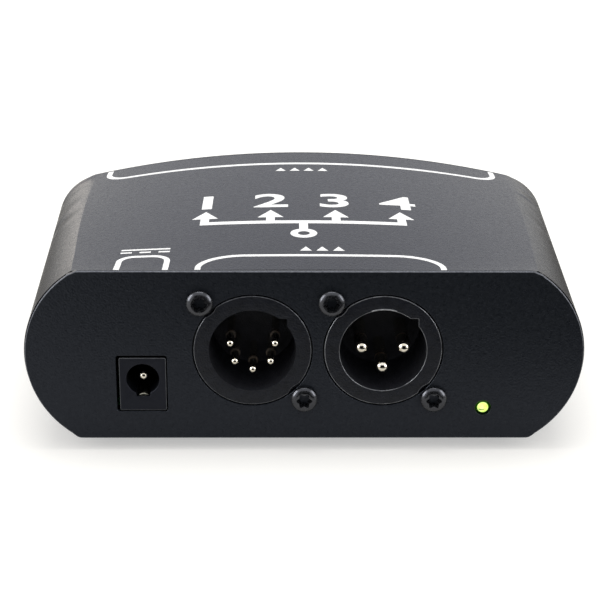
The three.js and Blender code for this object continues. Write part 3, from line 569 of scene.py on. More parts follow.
def input_shell(mouth, rim_edge, mouth_material):
    """Cup and collar in one profile. The cup's radius follows the keyway's square corner between 0 and 90 degrees.

    The two edges of the collar's face are surfaces of their own, which may show wear of the finish and a painted
    highlight.
    """
    angles = around(480, *np.radians(KEYWAY_TURNS))
    square = KEYWAY / positive(np.maximum(np.cos(angles), np.sin(angles)))
    quarter = (np.cos(angles) > 0) & (np.sin(angles) > 0)
    cup = np.where(quarter, np.clip(square, CUP_RADIUS, KEYWAY_REACH), CUP_RADIUS)
    well = rounded([(0, CUP_DEPTH), (cup, CUP_DEPTH, CUP_EDGE), (cup, mouth)])
    lip = rounded([(cup, 3 * mouth), (cup, 0, mouth), (cup + 3 * mouth, 0)])[1:-1]
    rim = rounded([(lip[-1][:, 0], 0), *shell_outside(angles, rim_edge, INPUT_HEIGHT)])
    edge, rest = rim[1:BEND_STEPS + 2], rim[BEND_STEPS + 1:]
    return [(*turned([*well[:-1], lip[0]], angles), 2), (*turned(lip, angles), mouth_material),
            turned([lip[-1], edge[0]], angles), (*turned(edge, angles), 1), turned(rest, angles)]


def arc_bead(radius, half_angle, thickness, depth):
    """A thin round bead along an arc at the top, drawn to a point at both ends."""
    along = np.linspace(-half_angle, half_angle, 40)[:, None] + math.pi / 2
    swell = thickness * np.sqrt(np.clip(1 - np.linspace(-1, 1, 40)[:, None] ** 8, 0, 1))
    turn = np.arange(12) * 2 * math.pi / 12
    return surface(at_depth(polar(radius + swell * np.cos(turn), along), depth + swell * np.sin(turn)))


def skin(name, tones, grain, rough, rough_grain, mirror=0.5, tint="#ffffff", detail=2.0, relief=None, **more):
    """A material of two close tones and two close roughnesses, each at its grain in millimetres.

    relief is the grain, strength and distance of a bump, and more holds other inputs of the shader.
    """
    material, tree, place = bare_material(name)
    if relief:
        size, strength, distance = relief
        more["Normal"] = bump(tree, speckle(tree, place, size, 0.0, 1.0), strength, distance)
    return dressed(material, {
        "Base Color": speckle(tree, place, grain, *tones, detail),
        "Roughness": speckle(tree, place, rough_grain, *rough),
        "Specular IOR Level": mirror,
        "Specular Tint": linear(tint),
        **more,
    })


# Black zinc finish on a die casting: faintly uneven colour and a fine matt grain of 0.3 mm.
cast = {"grain": 1.6, "rough_grain": 0.9, "detail": 3.0, "relief": (0.3, 0.7, 0.07)}
black_casting = skin("Black zinc die casting", ("#0c0f16", "#161921"), rough=(0.3, 0.4), mirror=0.27, **cast)
cup_black = skin("Black inside of the cup", ("#1b1c21", "#23242a"), rough=(0.46, 0.56), mirror=0.2, **cast)

# Edges of a casting where handling has thinned the black, so that the zinc shows through in places. Their lighter
# tones also paint in the bright lines that highlights draw along these edges and along the catch's bead.
worn_and_highlit = {"rough": (0.26, 0.36), "rough_grain": 0.5, "detail": 3.0, "Metallic": 0.7}
thin_black_with_highlight = skin("Thin black on zinc, with a painted edge highlight", ("#55575c", "#7a7c81"), 0.7, **worn_and_highlit)
worn_zinc_with_highlight = skin("Worn zinc, with a painted edge highlight", ("#4a4c51", "#9a9ca1"), 2.5, **worn_and_highlit)
bare_zinc_with_highlight = skin("Bare zinc, with a painted highlight", ("#8f9196", "#c4c6ca"), 0.7, **worn_and_highlit)
for name, mouth, rim, x, edge, mouth_material in (("input_5pin", 0.05, 0.12, INPUT_XS[0], thin_black_with_highlight, 0),
                                                  ("input_3pin", 0.12, 0.14, INPUT_XS[1], worn_zinc_with_highlight, 1)):
    parts = [*input_shell(mouth, rim, mouth_material), *shell_foot(INPUT_HEIGHT)]
    if name == "input_3pin":
        half_angle = CATCH_WIDTH / 2 / CATCH_REACH
        parts.append((*arc_bead(CATCH_REACH, half_angle, CATCH_BEAD, CATCH_DEPTH), 3))
    stand_for(f"{name}_shell", parts, [black_casting, edge, cup_black, bare_zinc_with_highlight], "receptacle_black", from_front,
              x=x, height=INPUT_HEIGHT)


def contacts(count, ring, step):
    """Places of a receptacle's contacts: equal steps round a ring, even about straight down."""
    angle = -math.pi / 2 + (np.arange(count) - (count - 1) / 2) * step * 2 * math.pi
    return polar(ring, angle).tolist()


PIN_SETBACK = 0.8
PIN_END = 15.7
RING_FROM = 5.2
RING_TO = 5.9
RING_EDGE = 0.12
FIVE = {"count": 5, "ring": 4.42, "step": 1 / 7}
THREE = {"count": 3, "ring": 4.06, "step": 1 / 4}


def dome(radius, start, height, count):
    """A profile from the tip of a dome back to its full radius, as a quarter of an ellipse."""
    turn = np.linspace(0, math.pi / 2, count)
    return [*zip(radius * np.sin(turn), start + height * (1 - np.cos(turn)))]


def pin(radius, shoulder):
    """A turned pin: a ball nose, a straight shank, and a shoulder ring round it in a darker brown."""
    nose = dome(radius, PIN_SETBACK, radius, 14)
    ring = rounded([(radius, RING_FROM), (shoulder, RING_FROM, RING_EDGE), (shoulder, RING_TO, RING_EDGE),
                    (radius, RING_TO)])
    shank = [(radius, RING_TO), (radius, PIN_END), (0, PIN_END)]
    return [turned([*nose, ring[0]], around(48)), (*turned(ring, around(48)), 1), turned(shank, around(48))]


def plated(name, dark, light, rough):
    """Bright plate over metal, with faint rings left by the lathe or the rolls."""
    return skin(name, (dark, light), 0.6, (rough, rough + 0.06), 0.4, Metallic=1.0)


def two_tone(name, dark, light, rough, grain):
    """A plain skin without metal: two close tones at one grain."""
    return skin(name, (dark, light), grain, (rough, rough + 0.1), grain / 2)


silver = plated("Silver plate", "#e2dac8", "#f4efe2", 0.08)
dark_pin_ring = two_tone("Dark ring of the pins", "#1d1610", "#33271b", 0.5, 0.5)
for name, layout, radius, shoulder, x in (("input_5pin", FIVE, 0.76, 1.0, INPUT_XS[0]),
                                          ("input_3pin", THREE, 1.26, 1.27, INPUT_XS[1])):
    for number, (dx, dz) in enumerate(contacts(**layout), 1):
        stand_for(f"{name}_pin_{number}", pin(radius, shoulder), [silver, dark_pin_ring], "contact_silver", from_front,
                  x=x + dx, height=INPUT_HEIGHT + dz)

# The screws
# Thread-forming steel screws with black zinc plate: a domed head with a six-lobe recess, and a plain shank here in
# place of the thread, which nothing shows.
HEAD_RADIUS = 2.5
HEAD_HEIGHT = 1.6
HEAD_RIM = 0.5
HEAD_SEAT = -0.05
CROWN_RADIUS = 2.58
CROWN_POWER = 2.6
SHANK_RADIUS = 1.4
SHANK_TIP = 0.6
RECESS_RADIUS = 1.56
LOBE_RADIUS = 1.5
LOBE_SWING = 0.13
LOBE_DEPTH = 1.5
LOBES = 6


def screw(length):
    """Head and shank in one profile. The recess's radius swings between its lobes and waists with the angle."""
    angles = around(96)
    lobe = LOBE_RADIUS * (1 - LOBE_SWING + LOBE_SWING * np.cos(LOBES * angles))
    across = np.linspace(RECESS_RADIUS, HEAD_RADIUS, 9)
    fall = np.sqrt(np.clip(1 - (across / CROWN_RADIUS) ** CROWN_POWER, 0, 1))
    crown = -HEAD_RIM - (HEAD_HEIGHT - HEAD_RIM) * fall
    floor = crown[0] + LOBE_DEPTH
    profile = [(0, floor + 0.25), (0.8 * lobe, floor, 0.15), (0.97 * lobe, crown[0] + 0.14),
               (lobe + 0.02, crown[0] + 0.02), *zip(across, crown), (HEAD_RADIUS, HEAD_SEAT),
               (SHANK_RADIUS, HEAD_SEAT), (SHANK_RADIUS, length - SHANK_TIP), (0, length)]
    return turned(rounded(profile), angles)


def from_below(points, x, y):
    """Points about an axis that points up from the underside, so that depth counts as height."""
    return np.stack([x + points[:, 0], y - points[:, 2], MID_HEIGHT - HALF_HEIGHT + points[:, 1]], axis=-1)


def middle_of(node):
    """Where a node of the frame stands on the underside, in millimetres."""
    low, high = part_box(node)
    middle = (low + high) / 2 / MM
    return {"x": middle.x, "y": middle.y}


# Black zinc plate on steel: dark metal under a clear passivate, with small scuffs.
screw_finish = skin("Black zinc plated steel", ("#0f1012", "#1a1b1d"), 0.7, (0.15, 0.3), 0.35, 0.6, "#f0f3ff", 3.0,
                    IOR=1.63)
panel_screw = screw(6.0)
for side, _, axes, height, place in faces:
    for number, x in enumerate(axes):
        for corner, (dx, dz) in enumerate(SCREW_CORNERS, 1):
            stand_for(f"{side}_screw_{2 * number + corner}", [panel_screw], screw_finish, "screw_black", place,
                      x=x + dx, height=height + dz)
base_screw = screw(3.4)
for node in (f"base_screw_{number}" for number in range(1, 5)):
    stand_for(node, [base_screw], screw_finish, "screw_black", from_below, **middle_of(node))

# The power jack
# A moulded nylon block whose face stands just behind the plate's, with a round bore, a silver-plated centre pin and
# a sprung leaf that bows up through the bore's floor.
JACK_SETBACK = 0.15
JACK_END = 14.5
JACK_CORNER = 0.35
BORE_RADIUS = 3.15
BORE_RISE = 1.05
BORE_END = 10.5
JACK_PIN_RADIUS = 0.95
JACK_PIN_SETBACK = 1.25
JACK_PIN_END = 13.0
NOTCH_HALF_WIDTH = 1.35
NOTCH_DEPTH = 0.45
LEAF_WIDTH = 2.2
LEAF_THICKNESS = 0.25
LEAF_CROWN = 0.42
LEAF_NOSE = 0.4
LEAF_CURL = 215
LEAF_FROM = 0.85
LEAF_FALL = 0.7
LEAF_GAP = 0.05


def moulding(name, dark, light, rough):
    """A plastic or rubber from a sparked mould: matt black with a fine even grain of 0.25 mm."""
    return skin(name, (dark, light), 0.5, (rough, rough + 0.12), 0.6, 0.3, "#dde4ff", IOR=1.53,
                relief=(0.25, 0.4, 0.008))


def leaf():
    """A strip with its front end rolled down round a nose, which falls away slowly behind it.

    It is crowned: its height is less by the square of the share of the half width.
    """
    turn = np.linspace(math.radians(LEAF_CURL), math.pi / 2, 20)
    top = BORE_RISE - BORE_RADIUS - LEAF_GAP
    nose = polar(LEAF_NOSE, turn, LEAF_FROM + LEAF_NOSE, top - LEAF_NOSE)
    share = np.linspace(0, 1, 30)[1:, None]
    back = nose[-1] + share * [BORE_END - LEAF_GAP - nose[-1][0], 0] - share ** 2 * [0, LEAF_FALL]
    path = np.concatenate([nose, back])
    under = offset(path, LEAF_THICKNESS)
    across = np.linspace(-1, 1, 9)
    ring = [(x, path) for x in across] + [(x, under) for x in across[::-1]]
    return loft(np.stack([np.column_stack([np.full(len(line), x * LEAF_WIDTH / 2), line - [0, LEAF_CROWN * x ** 2]])
                          for x, line in ring], axis=1))


jack_nylon = moulding("Black nylon of the jack", "#050609", "#0a0b0f", 0.38)
# The front edges of the jack's face take a lighter grey: a painted highlight along them.
jack_edge_highlight = two_tone("Nylon with a painted edge highlight", "#37393d", "#54565a", 0.4, 0.4)
outline = rounded_box(-JACK_WIDTH / 2, JACK_WIDTH / 2, -JACK_TALL / 2, JACK_TALL / 2, JACK_CORNER)
bore = circle(BORE_RADIUS, 0, BORE_RISE, 120)
notch = (np.abs(bore[:, 0]) < NOTCH_HALF_WIDTH) & (bore[:, 1] < BORE_RISE)
bore[notch, 1] = BORE_RISE - BORE_RADIUS - NOTCH_DEPTH
jack_parts = panel(outline, [bore], (0.14, 0.2), 0.12, JACK_SETBACK, BORE_END, 1)
jack_parts += panel(outline, [], (0.02, 0.02), 0.02, BORE_END + 0.01, JACK_END)
jack = {"x": JACK_X, "height": JACK_HEIGHT}
stand_for("power_jack_body", jack_parts, [jack_nylon, jack_edge_highlight], "insulator_black", from_front, **jack)
nose = dome(JACK_PIN_RADIUS, JACK_PIN_SETBACK, JACK_PIN_RADIUS, 12)
pin_parts = [turned([*nose, (JACK_PIN_RADIUS, JACK_PIN_END), (0, JACK_PIN_END)], around(48), height=BORE_RISE)]
stand_for("power_jack_pin", pin_parts, silver, "contact_silver", from_front, **jack)
tinned = plated("Tinned spring strip", "#6c6b60", "#b0afa2", 0.27)
stand_for("power_jack_leaf", leaf(), tinned, "contact_silver", from_front, **jack)

# The status light
# A 3 mm light-emitting diode of clear tinted epoxy, lit green, whose dome ends level with the plate. The chip lights
# the middle of the dome, its rim stays dark green, and an edge of the lead frame shows low in it.
LIT_RADIUS = 1.03
DOME_FROM = 0.03
DOME_DEPTH = 1.1
RIM_RADIUS = 1.8
RIM_FROM = 2.05
RIM_TO = 3.05
LIGHT_END = 5.0


def epoxy_lens(name, dark, light, strength):
    """Tinted epoxy over a lit chip: the chip's uneven glow, under a glossy skin."""
    material, tree, place = bare_material(name)
    return dressed(material, {
        "Base Color": linear(dark),
        "Roughness": speckle(tree, place, 0.5, 0.1, 0.16),
        "IOR": 1.55,
        "Emission Color": speckle(tree, place, 0.9, dark, light),
        "Emission Strength": strength,
    })


lens = dome(LIGHT_RADIUS, DOME_FROM, DOME_DEPTH, 20)
core = sum(radius < LIT_RADIUS for radius, _ in lens)
rest = [(LIGHT_RADIUS, RIM_FROM), (RIM_RADIUS, RIM_FROM), (RIM_RADIUS, RIM_TO), (LIGHT_RADIUS, RIM_TO),
        (LIGHT_RADIUS, LIGHT_END), (0, LIGHT_END)]
points, faces_of_edge = arc_bead(-1.6, half_angle=0.36, thickness=0.09, depth=0.11)
frame_edge = (points + [-0.26, 0, 1.23], faces_of_edge, 2)
light_parts = [turned(lens[:core + 1], around(48)), (*turned(lens[core:] + rest, around(48)), 1), frame_edge]
light_finish = [epoxy_lens("Lit green epoxy", "#c8f064", "#f4ffb4", 0.8),
                epoxy_lens("Green epoxy", "#1d4a08", "#2f6a10", 0.3),
                two_tone("Edge of the lead frame", "#2c4f12", "#45731f", 0.4, 0.4)]
stand_for("status_light", light_parts, light_finish, "status_green", from_front, x=LIGHT_X, height=LIGHT_HEIGHT)

# The output receptacles
# The same black castings with a round bore in place of the cup, and a slot at the top for the latch. The insert is
# moulded with a contact hole for each pin, and the latch is a curved tab with a hook, pressed in against a spring.
OUTPUT_BORE = 9.6
OUTPUT_BORE_DEPTH = 12.0
INSERT_RADIUS = 7.9
INSERT_FRONT = 0.6
INSERT_BACK = 11.95
KEY_HALF_WIDTH = 0.8
KEY_REACH = 8.5
KEY_ANGLE = math.radians(135)
CONTACT_HOLE = 1.0
SLEEVE_RADIUS = 0.9
SLEEVE_BORE = 0.58
SLEEVE_FROM = 1.3
SLEEVE_END = 11.0
SLEEVE_EDGE = 0.08
LATCH_HALF = math.radians(20)
LATCH_PROUD = 1.6
LATCH_LENGTH = 12.0
LATCH_INNER = 9.75
LATCH_OUTER = 11.05
HOOK_FRONT = 4.5
HOOK_CREST = 5.3
HOOK_BACK = 6.1
HOOK_DROP = 0.7
HOOK_ROOT = 0.15
MOUTH_EDGE = 0.3
SLOT_END = 13.8
SLOT_FLOOR = 9.45
LEDGE_FROM = 5.65
FLOOR_WALL = 0.2


def output_shell():
    """Bore and collar in one profile, which drops to the slot's floor between the slot's two side angles.

    The bore's floor steps up to a level wall over the circuit board.
    """
    spread = LATCH_HALF + MOUTH_EDGE / COLLAR_RADIUS
    edges = [math.pi / 2 + side * (spread + step) for side in (-1, 1) for step in (0, 1e-4)]
    angles = around(360, *edges)
    slot = np.abs(angles - math.pi / 2) < spread + 5e-5
    bore = np.where(slot, SLOT_FLOOR, OUTPUT_BORE)
    deep = flat_below(angles, bore, OUTPUT_HEIGHT - BOARD_TOP - BOARD_GAP - FLOOR_WALL)
    inside = rounded([(0, OUTPUT_BORE_DEPTH), (deep, OUTPUT_BORE_DEPTH), (deep, LEDGE_FROM),
                      (bore, LEDGE_FROM - BOARD_GAP), (bore, MOUTH_EDGE, 0.1), (bore + MOUTH_EDGE, 0)])
    outside = rounded(shell_outside(angles, MOUTH_EDGE, OUTPUT_HEIGHT))
    rows = np.stack([np.broadcast_to(point, (len(angles), 2)) for point in inside + outside])
    count = len(inside)
    rows[2:count, slot, 0] = SLOT_FLOOR + 0.01 * np.arange(count - 2)[:, None]
    rows[2:count, slot, 1] = SLOT_END - 0.12
    rows[count:-2, slot, 0] = BARREL_RADIUS
    rows[count:-2, slot, 1] = np.linspace(SLOT_END - 0.1, SLOT_END, len(outside) - 2)[:, None]
    return turned(rows, angles)


def insert_outline():
    """A circle with a key standing out of it at the upper left, run anticlockwise."""
    edges = [KEY_ANGLE + side * math.asin(KEY_HALF_WIDTH / reach)
             for side in (-1, 1) for reach in (KEY_REACH, INSERT_RADIUS)]
    angles = around(200, *edges)
    turn = from_angle(angles, KEY_ANGLE)
    key = np.minimum(KEY_REACH / positive(np.cos(turn)), KEY_HALF_WIDTH / positive(np.abs(np.sin(turn))))
    radius = np.where(np.cos(turn) > 0, np.maximum(INSERT_RADIUS, key), INSERT_RADIUS)
    return polar(radius, angles)


def ring_sector(profile, half):
    """A closed section, in radius and depth, swept over half a spread to each side.

    Its last tenth draws in by a fiftieth, as the square of the way along it.
    """
    turn = np.linspace(-half, half, 40)[:, None] + math.pi / 2
    end = 1 - 0.02 * np.clip((np.abs(turn - math.pi / 2) / half - 0.9) / 0.1, 0, 1) ** 2
    radius, depth = np.array(rounded(profile)[:-1]).T
    middle = (radius.min() + radius.max()) / 2
    swept = at_depth(polar(middle + (radius - middle) * end, turn), np.minimum(depth + (1 - end) * 8, depth.max()))
    return [surface(swept), *((swept[side], np.arange(len(radius))[None]) for side in (0, -1))]


def latch():
    """A thumb tab, and under it a hook with a ramp at the front that the plug's catch rides over."""
    tab = [(LATCH_INNER, LATCH_LENGTH), (LATCH_INNER, -LATCH_PROUD, 0.35), (LATCH_OUTER, -LATCH_PROUD, 0.5),
           (LATCH_OUTER, LATCH_LENGTH), (LATCH_INNER, LATCH_LENGTH)]
    crest, root = LATCH_INNER - HOOK_DROP, LATCH_INNER + HOOK_ROOT
    hook = [(crest, HOOK_BACK), (crest, HOOK_CREST, 0.2), (root, HOOK_FRONT), (root, HOOK_BACK), (crest, HOOK_BACK)]
    return ring_sector(tab, LATCH_HALF) + ring_sector(hook, LATCH_HALF / 2)


def sleeve():
    """A female contact: an open tube with a drilled bore, painted near black inside as shade, which ends in a cone.
    """
    profile = rounded([(0, 8.6), (SLEEVE_BORE, 8.2), (SLEEVE_BORE, 1.6), (SLEEVE_BORE, SLEEVE_FROM, SLEEVE_EDGE),
                       (SLEEVE_RADIUS, SLEEVE_FROM, SLEEVE_EDGE), (SLEEVE_RADIUS, SLEEVE_END), (0, SLEEVE_END)])
    return [(*turned(profile[:3], around(28)), 1), turned(profile[2:], around(28))]


insert_nylon = moulding("Black nylon of the inserts", "#141517", "#1d1e21", 0.5)
latch_acetal = moulding("Black acetal of the latches", "#1b1c1f", "#242528", 0.34)
shell_parts = [output_shell(), *shell_foot(OUTPUT_HEIGHT)]
# Painted shade: the inside of each contact's bore is coloured near black for the shade deep in it.
bore_shade = two_tone("Painted shade in the contact bores", "#0c0b09", "#1a1713", 0.6, 0.4)
places = contacts(**FIVE)
contact_holes = [circle(CONTACT_HOLE, x, height, 32) for x, height in places]
insert_parts = panel(insert_outline(), contact_holes, (0.35, 0.35), 0.15, INSERT_FRONT, INSERT_BACK)
sleeve_parts = [(points + [x, 0, height], *rest) for x, height in places for points, *rest in sleeve()]
for number, x in enumerate(OUTPUT_XS, 1):
    where = {"x": x, "height": OUTPUT_HEIGHT}
    name = f"output_{number}"
    stand_for(f"{name}_shell", shell_parts, black_casting, "receptacle_black", from_rear, **where)
    stand_for(f"{name}_insert", insert_parts, insert_nylon, "insulator_black", from_rear, **where)
    stand_for(f"{name}_latch", latch(), latch_acetal, "latch_black", from_rear, f"latch_{number}", **where)
    sleeves = make_piece(f"{name}_contacts", moved(sleeve_parts, from_rear, **where), [silver, bore_shade])

# Inside the case
# A glass-epoxy board with green solder mask stands on the base plate's bosses. On it are an isolating converter and a
# line driver for each output, and the supply's capacitor in its shrunk sleeve.
paint("circuit_board", two_tone("Green solder mask", "#0d4a24", "#166235", 0.35, 1.2))
paint("supply_capacitor", two_tone("Shrunk sleeve", "#20242e", "#2a2f3c", 0.3, 0.8))
epoxy = two_tone("Moulded epoxy", "#151515", "#1f1f1f", 0.5, 0.4)
for number in range(1, 5):
    paint(f"isolating_converter_{number}", epoxy)
    paint(f"line_driver_{number}", epoxy)

# The feet
# Four moulded rubber discs stuck under the base plate, tapering a little to the surface that they stand on.
FOOT_RADIUS = 5.0
FOOT_TREAD = 4.2
FOOT_FROM = -0.05
FOOT_TO = -2.55

rubber = moulding("Black rubber", "#121212", "#1b1b1b", 0.75)
foot = turned(rounded([(0, FOOT_FROM), (FOOT_RADIUS, FOOT_FROM, 0.15), (FOOT_TREAD, FOOT_TO, 0.4), (0, FOOT_TO)]),
              around(96))
for node in (f"foot_{number}" for number in range(1, 5)):
    stand_for(node, [foot], rubber, "foot_rubber", from_below, **middle_of(node))

# The printing
# White epoxy ink, screen printed on the coat: a bracket beside each group of connectors, and a plain diagram of one
# input that branches to four numbered outputs. The rear plate has the outputs' numbers.
INK = 0.03
INK_ROOT = 0.04
FINE_LINE = 1.1
BROAD_LINE = 1.3
BRANCH_LINE = 1.8
DASH_LINE = 0.75
SPACING = 0.4
RING_DEPTH = 21.6
BAR_DEPTH = 28.6
BRANCH_END = 31.8
BRANCH_XS = (-20.4, -6.8, 6.8, 20.4)
NUMERAL_FOOT = 38.6
NUMERAL_SIZE = 12.4
REAR_NUMERAL_FOOT = 10.4


def on_top(plan, lift):
    """Points (x, depth) laid on the cover's top, with a lift above it."""
    x, depth = plan[..., 0], plan[..., 1]
    return np.stack([x, depth - DEPTH / 2, MID_HEIGHT + top_height(x, depth) + lift], axis=-1)


def dense(path):
    """A path with points no further apart than a spacing, so that it follows the crown."""
    path = np.array(path, float)
    pieces = []
    for start, end in zip(path[:-1], path[1:]):
        count = max(1, int(np.ceil(np.linalg.norm(end - start) / SPACING)))
        pieces.append(start + (end - start) * (np.arange(count) / count)[:, None])
    return np.concatenate([*pieces, path[-1:]])


def printed_line(path, width):
    """A path on the top, widened square to itself into a film that is closed on all sides."""
    path = dense(path)
    step = np.gradient(path, axis=0)
    step = step / np.linalg.norm(step, axis=-1, keepdims=True)
    aside = np.stack([step[:, 1], -step[:, 0]], axis=-1) * width / 2
    left, right = path - aside, path + aside
    columns = [(left, -INK_ROOT), (right, -INK_ROOT), (right, INK), (left, INK)]
    return loft(np.stack([on_top(line, lift) for line, lift in columns], axis=1))


def bracket(left, right, bar, edge, round_x, round_depth):
    """From the edge up one leg, round a quarter ellipse, along the bar and back down the other leg."""
    turn = np.linspace(0, math.pi / 2, 24)
    across = round_x * (1 - np.cos(turn))
    depth = bar + math.copysign(round_depth, edge - bar) * (1 - np.sin(turn))
    first, second = (np.stack([x, depth], axis=-1) for x in (left + across, right - across))
    return np.concatenate([[[left, edge]], first, second[::-1], [[right, edge]]])


def printed_shape(outline, holes=()):
    """A filled outline on the top, as a film closed on all sides."""
    loops = [np.asarray(line, float) for line in [outline, *holes]]
    parts = [(on_top(np.concatenate(loops), lift), filled(loops)) for lift in (INK, -INK_ROOT)]
    return parts + [surface(np.stack([on_top(loop, lift) for lift in (INK, -INK_ROOT)])) for loop in loops]


def triangle(x, depth, half, tall):
    """A filled triangle that points to the rear."""
    return printed_shape([(x - half, depth), (x + half, depth), (x, depth + tall)])


def figure(text, size, width, bold, place):
    """One numeral as a closed plate: a letter curve is made a mesh, stretched in x, and each point is then placed."""
    curve = bpy.data.curves.new("numeral", "FONT")
    curve.body = text
    curve.align_x = "CENTER"
    curve.size = size
    curve.offset = bold
    curve.extrude = 0.5
    letter = put("numeral", curve)
    mesh = bpy.data.meshes.new_from_object(letter.evaluated_get(bpy.context.evaluated_depsgraph_get()))
    mesh.calc_loop_triangles()
    points = np.array([vertex.co for vertex in mesh.vertices], float)
    triangles = np.array([triangle.vertices for triangle in mesh.loop_triangles])
    for unwanted, owner in ((letter, bpy.data.objects), (mesh, bpy.data.meshes), (curve, bpy.data.curves)):
        owner.remove(unwanted)
    return place(points * [width, 1, INK + INK_ROOT] + [0, 0, (INK - INK_ROOT) / 2]), triangles


ink = skin("White screen ink", ("#f2f2f0", "#fbfbfa"), 0.5, (0.45, 0.6), 0.4, 0.3)
cover_edge = COVER_FROM + 0.02
bar = [(BRANCH_XS[0] - BRANCH_LINE / 2, BAR_DEPTH), (BRANCH_XS[-1] + BRANCH_LINE / 2, BAR_DEPTH)]
lines = [(bracket(-35.5, -26.3, 9.5, cover_edge, 3.0, 3.0), FINE_LINE),
         (bracket(-20.2, 26.1, 8.8, cover_edge, 8.8, 6.7), FINE_LINE),
         (bracket(-45.4, 45.4, 70.4, COVER_TO - 0.02, 5.0, 5.0), BROAD_LINE),
         ([(0, RING_DEPTH + 2.4), (0, BAR_DEPTH)], BRANCH_LINE), (bar, BRANCH_LINE)]
lines += [([(x, BAR_DEPTH), (x, BRANCH_END)], BRANCH_LINE) for x in BRANCH_XS]
film = [part for path, width in lines for part in printed_line(path, width)]
film += printed_shape(circle(2.7, 0, RING_DEPTH, 64), [circle(1.2, 0, RING_DEPTH, 40)])
for x in BRANCH_XS:
    film += triangle(x, BRANCH_END - 0.1, 2.7, 4.7)
for number, x in enumerate(BRANCH_XS, 1):
    film.append(figure(str(number), NUMERAL_SIZE, 1.25, 0.24,
                       lambda points: on_top(points + [x, NUMERAL_FOOT, 0], points[:, 2])))
for x, depth, steps in ((0.0, 64.6, (-4.8, -1.6, 1.6, 4.8)), (3.5, 11.4, (-3.2, 0, 3.2))):
    for step in steps:
        film += triangle(x + step, depth, 1.15, 2.3)

# The sign for direct current: one long line over three dashes.
film += printed_line([(-35.8, 13.8), (-26.2, 13.8)], DASH_LINE)
for x in (-35.8, -32.1, -28.4):
    film += printed_line([(x, 12.1), (x + 2.2, 12.1)], DASH_LINE)
make_piece("top_printing", film, ink)
film = []
for number, x in enumerate(OUTPUT_XS, 1):
    film.append(figure(str(number), 3.6, 1.0, 0.06, lambda points: from_rear(
        np.stack([points[:, 0], -points[:, 2], points[:, 1]], axis=-1), x=x, height=REAR_NUMERAL_FOOT)))
make_piece("rear_printing", film, ink)

# Floor, light and camera
# A pale sweep under two large soft lamps and an overhead one. The camera looks down on the front from the
# photograph's place, and the background behind the case is plain white.
LENS = 86.45
CAMERA_PLACE = (-3.7, -291.5, 133.55)
CAMERA_DOWN = 18.52
CAMERA_RIGHT = 0.61
CAMERA_ROLL = 0.26
CAMERA_SHIFT = -0.15
FLOOR_HALF = 3000.0

world = bpy.data.worlds.new("Studio")
bpy.context.scene.world = world
world.use_nodes = True
tree = world.node_tree
tree.nodes.clear()
path = add(tree, "LightPath")
seen = compute(tree, "MAXIMUM", path["Is Camera Ray"], path["Is Glossy Ray"])
seen = compute(tree, "MAXIMUM", seen, path["Is Transmission Ray"])
strength = compute(tree, "MULTIPLY_ADD", seen, 0.1, 0.9)
white = add(tree, "Background", {"Color": linear("#ffffff"), "Strength": strength})
add(tree, "OutputWorld", {"Surface": white[0]})


def plain_mesh(name, points, faces, material):
    """Points in millimetres and faces, in one material."""
    mesh = bpy.data.meshes.new(name)
    mesh.from_pydata(points * MM, [], faces)
    mesh.materials.append(material)
    return mesh


sweep, tree, place = bare_material("Pale paper sweep")
lift = compute(tree, "MULTIPLY", add(tree, "LightPath")["Is Camera Ray"], 0.42)
paper = add(tree, "BsdfDiffuse", {"Color": linear("#d9d7d2")})
glow = add(tree, "Emission", {"Color": linear("#ffffff"), "Strength": lift})
lit_paper = add(tree, "AddShader", {0: paper[0], 1: glow[0]})
add(tree, "OutputMaterial", {"Surface": lit_paper[0]})
corners = np.array([[-1, -1, 0], [1, -1, 0], [1, 1, 0], [-1, 1, 0]]) * FLOOR_HALF
floor = put("floor", plain_mesh("floor", corners, [(0, 1, 2, 3)], sweep))


def lamp(name, place, aim, width, height, power, colour="#ffffff", diffuse=False):
    """A soft box: an area lamp of a size in millimetres that faces a point. diffuse lets it light matt things."""
    light = bpy.data.lights.new(name, "AREA")
    light.shape = "RECTANGLE"
    light.size, light.size_y = width * MM, height * MM
    light.energy = power
    light.color = linear(colour)[:3]
    box = put(name, light)
    box.visible_diffuse = diffuse
    box.location = Vector(place) * MM
    box.rotation_euler = (Vector(aim) - Vector(place)).to_track_quat("-Z", "Y").to_euler()


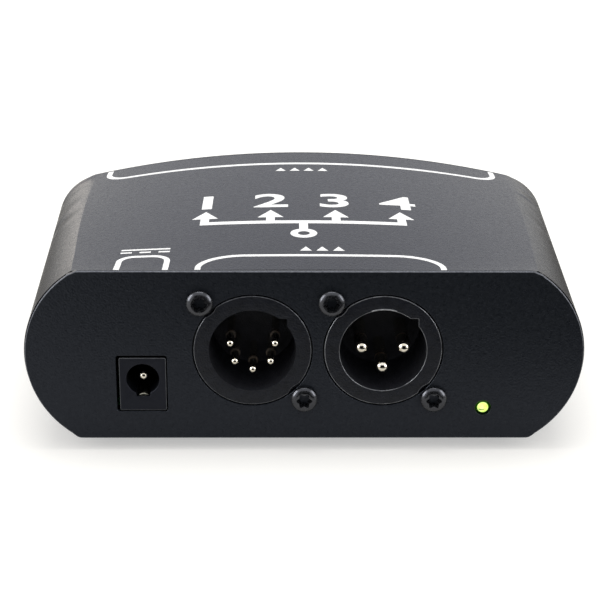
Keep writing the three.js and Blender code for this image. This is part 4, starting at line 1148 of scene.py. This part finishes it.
lamp("overhead", (0, 60, 850), (0, 0, 20), 600, 400, 3.0, diffuse=True)
lamp("left_box", (-690, -260, 290), (0, 0, 40), 360, 520, 4.2)
lamp("right_box", (690, -260, 290), (0, 0, 40), 360, 520, 2.8)
lamp("rear_left_box", (-420, 800, 190), (0, 0, 30), 260, 260, 0.33, "#fff3e4")
lamp("rear_box", (0, 1100, 480), (0, 0, 30), 1600, 400, 0.24, "#7fa0ff")

# A black flag lies in front and stands up behind the camera, and a grey card lies behind each side. They stand for
# the studio's own darkness: painted shade that shows only in reflections, and neither lights nor shades anything.


def card(name, left, right, material):
    """A sheet between two lines, seen by glossy rays alone."""
    points, faces = surface(np.stack([np.array(left, float), np.array(right, float)], axis=1), around=False)
    sheet = put(name, plain_mesh(name, points, faces.tolist(), material))
    sheet.visible_camera = sheet.visible_diffuse = sheet.visible_shadow = sheet.visible_transmission = False


def felt(name, dark, light):
    """Matt cloth with a fibre grain of 4 mm."""
    material, tree, place = bare_material(name)
    cloth = add(tree, "BsdfDiffuse", {"Color": speckle(tree, place, 4.0, dark, light)})
    add(tree, "OutputMaterial", {"Surface": cloth[0]})
    return material


card("flag", [(-46, -92, 1), (-160, -300, 1), (-400, -650, 1), (-400, -650, 480)],
     [(170, -50, 1), (260, -300, 1), (484, -650, 1), (484, -650, 480)], felt("Black velvet", "#050505", "#0a0a0a"))
card("right_card", [(72, 46, 1), (100, 235, 1)], [(230, 20, 1), (325, 205, 1)],
     felt("Dark grey felt", "#64625e", "#716f6a"))
card("left_card", [(-230, 20, 1), (-310, 190, 1)], [(-72, 46, 1), (-97, 215, 1)],
     felt("Light grey felt", "#7f7c77", "#8d8a85"))

camera = bpy.data.cameras.new("camera")
camera.lens = LENS
camera.sensor_width = 36.0
camera.shift_y = CAMERA_SHIFT
camera.clip_start = 0.01
eye = put("camera", camera)
turn = Matrix.Rotation(-math.radians(CAMERA_RIGHT), 4, "Z") @ Matrix.Rotation(math.radians(90 - CAMERA_DOWN), 4, "X")
eye.matrix_world = Matrix.Translation(Vector(CAMERA_PLACE) * MM) @ turn @ Matrix.Rotation(
    math.radians(CAMERA_ROLL), 4, "Z")
bpy.context.scene.camera = eye
bpy.context.scene.view_settings.view_transform = "Standard"
